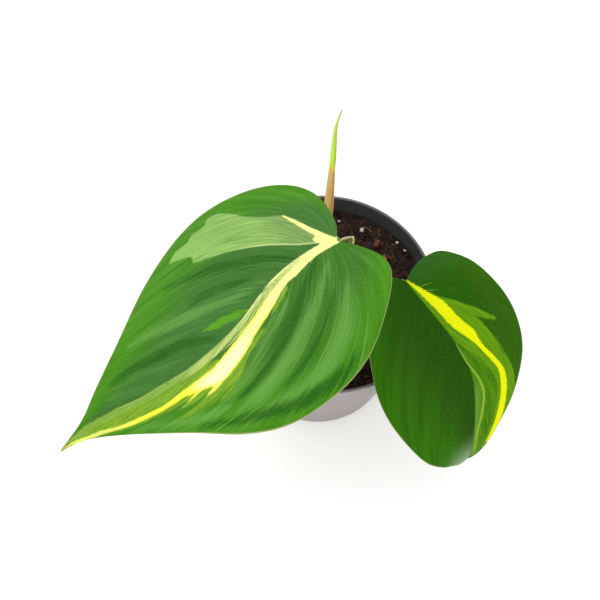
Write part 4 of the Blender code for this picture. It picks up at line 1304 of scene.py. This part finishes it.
# %% Large leaf
def large_leaf_skin():
    skin = Finish("leaf_large")
    _, v, _ = skin.parts(skin.attribute("vein", "Vector"))
    x, y, beside = skin.parts(skin.attribute("plan", "Vector"))
    out = v.size()
    fine = threads(skin, 170.0, 5.0)
    green = large_green(skin, beside, out, fine)
    lime = skin.mix(fine.step(0.35, 0.65), paint(88, 136, 18), paint(134, 172, 44))
    colour = skin.mix(ragged(skin, "sage", 1.6), green, large_sage(skin, x, fine))
    patch = skin.attribute("sage")
    line = patch.step(-0.2, 0.1) * (1 - patch.step(0.25, 0.7)) * (y + x * 0.75 + 3.0).step(-1.0, 1.0)
    colour = skin.mix(line * (1 - x.step(20.0, 40.0)) * 0.7, colour, paint(198, 216, 150))
    colour = skin.mix(ragged(skin, "lime", 3.0), colour, lime)
    colour = skin.mix(ragged(skin, "cream", 1.7), colour, large_cream(skin, x, out, fine))
    colour = skin.mix(ragged(skin, "strip", 0.5) * x.step(6.0, 26.0), colour, large_strip(skin, x, fine))
    colour = skin.mix(ragged(skin, "shade", 0.4) * 0.8, colour, paint(60, 98, 22))
    edge_line = skin.mix(x.step(36.0, 62.0), paint(244, 238, 168), paint(158, 194, 96))
    colour = skin.mix(ragged(skin, "rib_edge", 0.1, 0.2) * 0.85, colour, edge_line)
    colour = skin.mix(x.step(117.0, 121.0) * 0.8, colour, paint(134, 122, 62))
    return wax(skin, colour, 0.10)


LARGE_LEAF["marks"] = {"cream": LARGE_CREAM, "lime": LARGE_LIME, "sage": LARGE_SAGE, "blotch": LARGE_BLOTCH,
                       "strip": LARGE_STRIP, "shade": LARGE_SHADE, "rib_edge": LARGE_EDGE,
                       "dark": LARGE_HOLLOW_SHADE, "sheen": LARGE_SHEEN}
LARGE_LEAF["left_pleats"] = (34.0, 0.42 * MM)
LARGE_LEAF["right_pleats"] = (30.0, 0.22 * MM)
make_leaf("leaf_blade_large", LARGE_LEAF, large_leaf_skin(), "large_leaf_blade")

# %% [markdown]
# ### The small leaf
# This leaf is darker with a weaker sheen. It is greyer in its notch, and has a whitish painted sheen where
# its tip curls under.
# Its finish is built from the same helpers with its own greens. It could share one function with the
# large leaf, but so many numbers would differ that two short ones are easier to read.

# %% Small leaf
def small_leaf_skin():
    skin = Finish("leaf_small")
    _, v, _ = skin.parts(skin.attribute("vein", "Vector"))
    x, _, beside = skin.parts(skin.attribute("plan", "Vector"))
    left = beside.step(-0.15, 0.15)
    broad = threads(skin, 18.0, 1.4, 2.0)
    fine = threads(skin, 190.0, 5.0)
    out = v.size()
    right_green = skin.mix(out.step(0.05, 0.95), paint(30, 72, 0), paint(48, 108, 0))
    left_green = skin.mix(out.step(0.3, 0.9), paint(34, 86, 0), paint(44, 92, 0))
    green = skin.mix(left, right_green, left_green)
    green = skin.mix(broad.step(0.4, 0.7) * 0.4, green, paint(22, 66, 0))
    green = skin.mix(fine.step(0.4, 0.8) * 0.10, green, paint(92, 148, 30))
    sinus = (1 - x.step(-4.0, 7.0)) * left
    green = skin.mix(sinus * 0.3, green, paint(54, 100, 50))
    # Painted sheen: whitish where the tip curls under, on the right half near the midrib.
    tip = x.step(66.0, 80.0) * (1 - left) * beside.step(-14.0, -4.0)
    green = skin.mix(tip * 0.6, green, paint(150, 176, 130))
    stripes = threads(skin, 90.0, 3.0, 2.0).step(0.42, 0.58)
    lime = skin.mix(fine.step(0.3, 0.7), paint(66, 124, 0), paint(112, 156, 12))
    olive = skin.mix(stripes, paint(54, 112, 0), paint(84, 132, 8))
    olive = skin.mix((1 - beside.step(1.0, 3.4)) * x.step(44.0, 54.0), olive, paint(98, 140, 42))
    yellow = skin.mix(fine.step(0.5, 0.9), paint(226, 230, 4), paint(200, 212, 6))
    colour = skin.mix(ragged(skin, "olive", 1.4), green, olive)
    colour = skin.mix(ragged(skin, "lime", 2.6), colour, lime)
    colour = skin.mix(1 - beside.step(-0.1, 0.3), colour, green)
    colour = skin.mix(ragged(skin, "lines", 0.05, 0.16) * 0.7, colour, paint(150, 184, 60))
    colour = skin.mix(ragged(skin, "yellow", 1.5), colour, yellow)
    return wax(skin, colour, 0.05)


SMALL_LEAF["marks"] = {"yellow": SMALL_YELLOW, "lime": SMALL_LIME, "olive": SMALL_OLIVE,
                       "lines": SMALL_LINES}
SMALL_LEAF["left_pleats"] = (26.0, 0.16 * MM)
SMALL_LEAF["right_pleats"] = (22.0, 0.14 * MM)
make_leaf("leaf_blade_small", SMALL_LEAF, small_leaf_skin(), "small_leaf_blade")

# %% [markdown]
# ## Shaping stems and stalks
# A stalk is round below and has a shallow channel on top. It is lofted as a plain tube along its path
# and the section is then pressed in on one side, as clay is rolled on a rod. A sweep of a drawn section
# would do it too, but here one rule serves the stem, the stalks, the sheath and the furled leaf.

# %% Shaping a lofted tube
def press(bm, placed, rule):
    """Scale each point's distance from the tube's middle by rule(angle, way), and store its section
    (cosine, sine, share of the way) for the finish to follow."""
    way = bm.verts.layers.float.get("way")
    section = bm.verts.layers.float_vector.new("section")
    for vert in bm.verts:
        place = placed[round(vert[way] * (len(placed) - 1))]
        local = place.inverted() @ vert.co
        angle = math.atan2(local.y, local.x)
        vert[section] = (math.cos(angle), math.sin(angle), vert[way])
        scale = rule(angle, vert[way])
        vert.co = place @ Vector((local.x * scale, local.y * scale, local.z))


def stem_piece(name, points, radii, count, sides, material, stands_for, rule):
    bm = bmesh.new()
    placed = stations(smooth_path([Vector(point) * MM for point in points], count))
    loft(bm, placed, widths(radii, count), sides)
    press(bm, placed, rule)
    return finish_piece(name, bm, [material], [stands_for], math.radians(60))


print("press and stem_piece are ready")

# %% [markdown]
# ### Stem skin
# Young stems are ribbed and flecked along their length. The skin reads the section attribute, so its ribs
# stay on the stem round every bend; noise in space would smear across them.

# %% Stem skin
def stem_skin(name, dark, light, fleck, ribs):
    """Skin with fine ribs along the stem and pale flecks drawn out the same way."""
    skin = Finish(name)
    across, beside, way = skin.parts(skin.attribute("section", "Vector"))
    streak = skin.grain(skin.spot(across * ribs, beside * ribs, way * 6.0), 1.0, 3.0, 0.6)
    flecks = skin.grain(skin.spot(across * ribs * 1.6, beside * ribs * 1.6, way * 42.0), 1.0, 2.0)
    colour = skin.mix(streak.step(0.3, 0.7), paint(*dark), paint(*light))
    colour = skin.mix(flecks.step(0.58, 0.70) * 0.7, colour, paint(*fleck))
    return skin.surface(Base_Color=colour, Roughness=0.42 + streak * 0.2, Specular_IOR_Level=0.35,
                        Normal=skin.bump(streak, 0.12 * MM, 0.7))


print("stem_skin is ready")

# %% [markdown]
# ### The shoot
# The living part of the plant is a short green joint that leans out of the old stem's side. It swells in
# the middle, where the small leaf's stalk leaves it, and again at its top under the spear.

# %% Shoot
SHOOT_PATH = ((-0.46, 13.58, 66), (-2.34, 13.97, 70.1), (-3.4, 14.3, 74.47), (-3.59, 14.54, 78.98),
              (-3.66, 14.78, 83.5))
shoot_green = stem_skin("stem_green", (62, 112, 34), (96, 146, 54), (168, 190, 120), 7.0)
stem_piece("shoot_joint", SHOOT_PATH, (1.51, 2.0, 2.4, 2.0, 2.1, 2.56), 26, 24, shoot_green,
           "shoot", lambda angle, way: 1 + 0.03 * math.cos(7 * angle))

# %% [markdown]
# ### The two stalks
# Each stalk rises from the shoot, arches over and runs a little way under its blade, where it thins out
# into the midrib. They are drawn by a few points each, in millimetres.

# %% Stalks
LARGE_STALK_PATH = ((-3.66, 12.98, 84.1), (-3.3, 10.63, 95.57), (-3.27, 2.35, 111.64),
                    (-1.05, -6.65, 123.57), (1.5, -12.26, 127.82), (-3.69, -16.87, 126.79))
SMALL_STALK_PATH = ((-3.39, 14.29, 74.4), (-1.68, 10.91, 74.78), (7.55, 6.19, 76.35), (17.14, -1.87, 81.63),
                    (24.83, -4.85, 88.98), (28.69, -4.12, 92.91), (32.88, -9.34, 90.81))


def channelled(angle, way):
    return 1 - 0.16 * math.exp(-((angle - math.pi / 2) / 0.5) ** 2) + 0.02 * math.cos(5 * angle)


stalk_green = stem_skin("stalk_green", (78, 132, 40), (118, 168, 66), (186, 206, 132), 6.0)
stem_piece("stalk_large", LARGE_STALK_PATH, (1.5, 1.32, 1.22, 1.22, 1.3, 1.42, 1.1, 0.5), 60, 20,
           stalk_green, "large_leaf_stalk", channelled)
stem_piece("stalk_small", SMALL_STALK_PATH, (1.45, 1.2, 1.15, 1.15, 1.2, 1.3, 1.0, 0.5), 60, 20,
           stalk_green, "small_leaf_stalk", channelled)

# %% [markdown]
# ## The cut old stem
# The plant was started from a cutting, and the old stem ends in a torn stub above the side shoot. It is
# one tube whose wall turns over at the top and runs a little way down inside. The rings near the lip are
# then opened out and drawn up to a point on one side, which a clean cut in the mesh wouldn't give.

# %% Old stem
OLD_STEM_PATH = ((3.6, 12.5, 35), (3.58, 12.42, 46.17), (3.57, 12.39, 57.35), (3.69, 12.84, 64.78),
                 (4.2, 14.79, 71.94), (4.8, 17.1, 79.0))
OLD_STEM_RINGS = 46
INSIDE_RINGS = 8


def old_stem_skin():
    bark = Finish("old_stem_skin")
    across, beside, way = bark.parts(bark.attribute("section", "Vector"))
    streak = bark.grain(bark.spot(across * 6.0, beside * 6.0, way * 9.0), 1.0, 4.0, 0.6)
    patch = bark.grain(bark.place(), 420.0, 3.0)
    colour = bark.mix(streak, paint(92, 88, 46), paint(142, 134, 80))
    colour = bark.mix(patch.step(0.55, 0.75) * 0.7, colour, paint(92, 66, 40))
    pith = bark.mix(patch.step(0.4, 0.6), paint(104, 92, 52), paint(164, 154, 100))
    colour = bark.mix(way.step(0.845, 0.852), colour, pith)
    lip_line = way.step(0.815, 0.835) * (1 - way.step(0.86, 0.885))
    colour = bark.mix(lip_line * 0.9, colour, paint(224, 214, 160))
    return bark.surface(Base_Color=colour, Roughness=0.65, Specular_IOR_Level=0.25,
                        Normal=bark.bump(streak, 0.25 * MM, 0.8))


def knotty(angle, way):
    return 1 + 0.04 * math.cos(3 * angle + 4 * way) + 0.02 * math.cos(9 * angle)


def make_old_stem():
    bm = bmesh.new()
    path = smooth_path([Vector(point) * MM for point in OLD_STEM_PATH], OLD_STEM_RINGS)
    placed = stations(path)
    radii = widths((2.2, 2.5, 2.5, 2.55, 2.85, 2.4, 2.3, 2.6), OLD_STEM_RINGS)
    placed += placed[:-INSIDE_RINGS - 1:-1]
    radii += [radius * 0.80 for radius in radii[:-INSIDE_RINGS - 1:-1]]
    loft(bm, placed, radii, 28)
    press(bm, placed, knotty)
    lip = path[-1]
    for vert in bm.verts:
        near = max(0.0, 1 - abs((vert.co - lip).z) / (5 * MM))
        out = (vert.co - lip).xy
        facing = out.normalized().dot(Vector((0.86, 0.5)))
        vert.co.z += near * MM * (3.6 * max(facing, 0.0) ** 5 - 2.0 * max(0.0, 0.55 - facing) ** 1.2)
        vert.co.xy += out * near ** 2 * 0.3
    finish_piece("old_stem_stub", bm, [old_stem_skin()], ["old_stem"], math.radians(60))


make_old_stem()

# %% [markdown]
# ## The spear's sheath
# The next leaf comes up rolled tight inside a papery sheath, tan and fibrous with a yellow mouth. Both
# follow one curve. The sheath is an open tube with a low keel, whose wall turns over at the mouth and runs
# back down inside. A solidified sheet would do, but here the mouth's own rings can be left wavy.

# %% Sheath
SPEAR = smooth_path([Vector(point) * MM for point in (
    (-3.66, 16.56, 84.1), (-4.41, 18.7, 105.55), (-5.17, 20.85, 127.0), (-5.72, 22.42, 142.73),
    (-5.6, 22.99, 148.45), (-4.57, 23.71, 155.6))], 144)
SHEATH_END = 84
SHEATH_WALL = 0.2 * MM
INNER_RINGS = 9


def papery_sheath():
    paper = Finish("papery_sheath")
    across, beside, way = paper.parts(paper.attribute("section", "Vector"))
    x, y, z = paper.parts(paper.place())
    fibres = paper.grain(paper.spot(across * 14.0, beside * 14.0, way * 5.0), 1.0, 4.0, 0.6)
    blotch = paper.grain(paper.spot(x * 500.0, y * 500.0, z * 120.0), 1.0, 3.0)
    side = (x + (z - 84.1 * MM) * 0.035 + 3.66 * MM).step(-0.3 * MM, 1.3 * MM)
    colour = paper.mix(side, paint(230, 190, 112), paint(182, 116, 64))
    colour = paper.mix(fibres.step(0.35, 0.7) * 0.5, colour, paint(232, 204, 140))
    colour = paper.mix(blotch.step(0.55, 0.75) * 0.6, colour, paint(176, 112, 60))
    colour = paper.mix(z.step(123.0 * MM, 125.5 * MM) * 0.85, colour, paint(224, 206, 58))
    return paper.surface(Base_Color=colour, Roughness=0.6, Specular_IOR_Level=0.3,
                         Normal=paper.bump(fibres, 0.2 * MM, 0.9))


def make_sheath():
    bm = bmesh.new()
    up = stations(SPEAR[:SHEATH_END:2] + [SPEAR[SHEATH_END]])
    radii = widths((1.45, 1.7, 1.85, 1.7, 1.4, 1.22), len(up))
    placed = up + up[:-INNER_RINGS - 1:-1]
    radii += [radius - SHEATH_WALL for radius in radii[:-INNER_RINGS - 1:-1]]
    loft(bm, placed, radii, 28)
    mouth = (len(up) - 1) / (len(placed) - 1)

    def keel(angle, way):
        worn = 1 - (way / mouth) ** 3 if way < mouth else 0.0
        return 1 + 0.07 * worn * math.exp(-((angle - 1.0) / 0.35) ** 2) + 0.012 * math.cos(11 * angle)

    press(bm, placed, keel)
    top = SPEAR[SHEATH_END]
    for vert in bm.verts:
        near = max(0.0, 1 - abs((vert.co - top).z) / (3 * MM))
        vert.co.z += near * 0.7 * MM * math.sin(3 * math.atan2(vert.co.y - top.y, vert.co.x - top.x) + 0.4)
    finish_piece("sheath_paper", bm, [papery_sheath()], ["spear_sheath"], math.radians(60))


make_sheath()

# %% [markdown]
# ## The rolled leaf
# A new leaf is rolled like a paper cone, so its outer edge laps over in a line that winds slowly up the
# spear. It is a tapering tube whose radius grows all the way round and drops back at the lap. Rolling a
# flat sheet would be truer inside, but none of that can be seen.

# %% Rolled leaf
ROLL_RINGS = 70


def rolled_skin():
    roll = Finish("rolled_leaf_skin")
    across, beside, way = roll.parts(roll.attribute("section", "Vector"))
    fibres = roll.grain(roll.spot(across * 9.0, beside * 9.0, way * 4.0), 1.0, 3.0, 0.6)
    colour = roll.mix(way, paint(190, 230, 44), paint(176, 220, 60))
    colour = roll.mix(across.step(0.1, 0.9) * 0.75, colour, paint(96, 150, 34))
    colour = roll.mix(fibres.step(0.4, 0.7) * 0.35, colour, paint(208, 236, 96))
    colour = roll.mix(way.step(0.86, 1.0) * 0.85, colour, paint(134, 142, 66))
    colour = roll.mix(1 - way.step(0.17, 0.24), colour, paint(222, 228, 70))
    return roll.surface(Base_Color=colour, Roughness=0.42, Specular_IOR_Level=0.35,
                        Normal=roll.bump(fibres, 0.12 * MM, 0.6))


def lapped(angle, way):
    turned = (angle - 1.2 - 1.4 * way) % math.tau / math.tau
    return 0.92 + 0.14 * turned


def make_rolled_leaf():
    bm = bmesh.new()
    part = SPEAR[SHEATH_END - 14:]
    placed = stations([along(part, k / (ROLL_RINGS - 1)) for k in range(ROLL_RINGS)])
    sizes = (0.95, 0.95, 1.15, 1.22, 1.12, 1.0, 0.86, 0.70, 0.52, 0.36, 0.22)
    loft(bm, placed, widths(sizes, ROLL_RINGS), 30)
    press(bm, placed, lapped)
    finish_piece("rolled_leaf_skin", bm, [rolled_skin()], ["rolled_leaf"], math.radians(40))


make_rolled_leaf()

# %% [markdown]
# ## Sizes
# The finished pieces have to fill the same space as the model they stand for, or collisions would lie. So
# the last call prints how far each corner of the pieces' box lies from the same corner of the model's box.

# %% Sizes
moved = [(after - before).length / MM for before, after in zip(cad_box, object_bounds())]
print(f"the box's two corners moved by {moved[0]:.2f} and {moved[1]:.2f} mm")
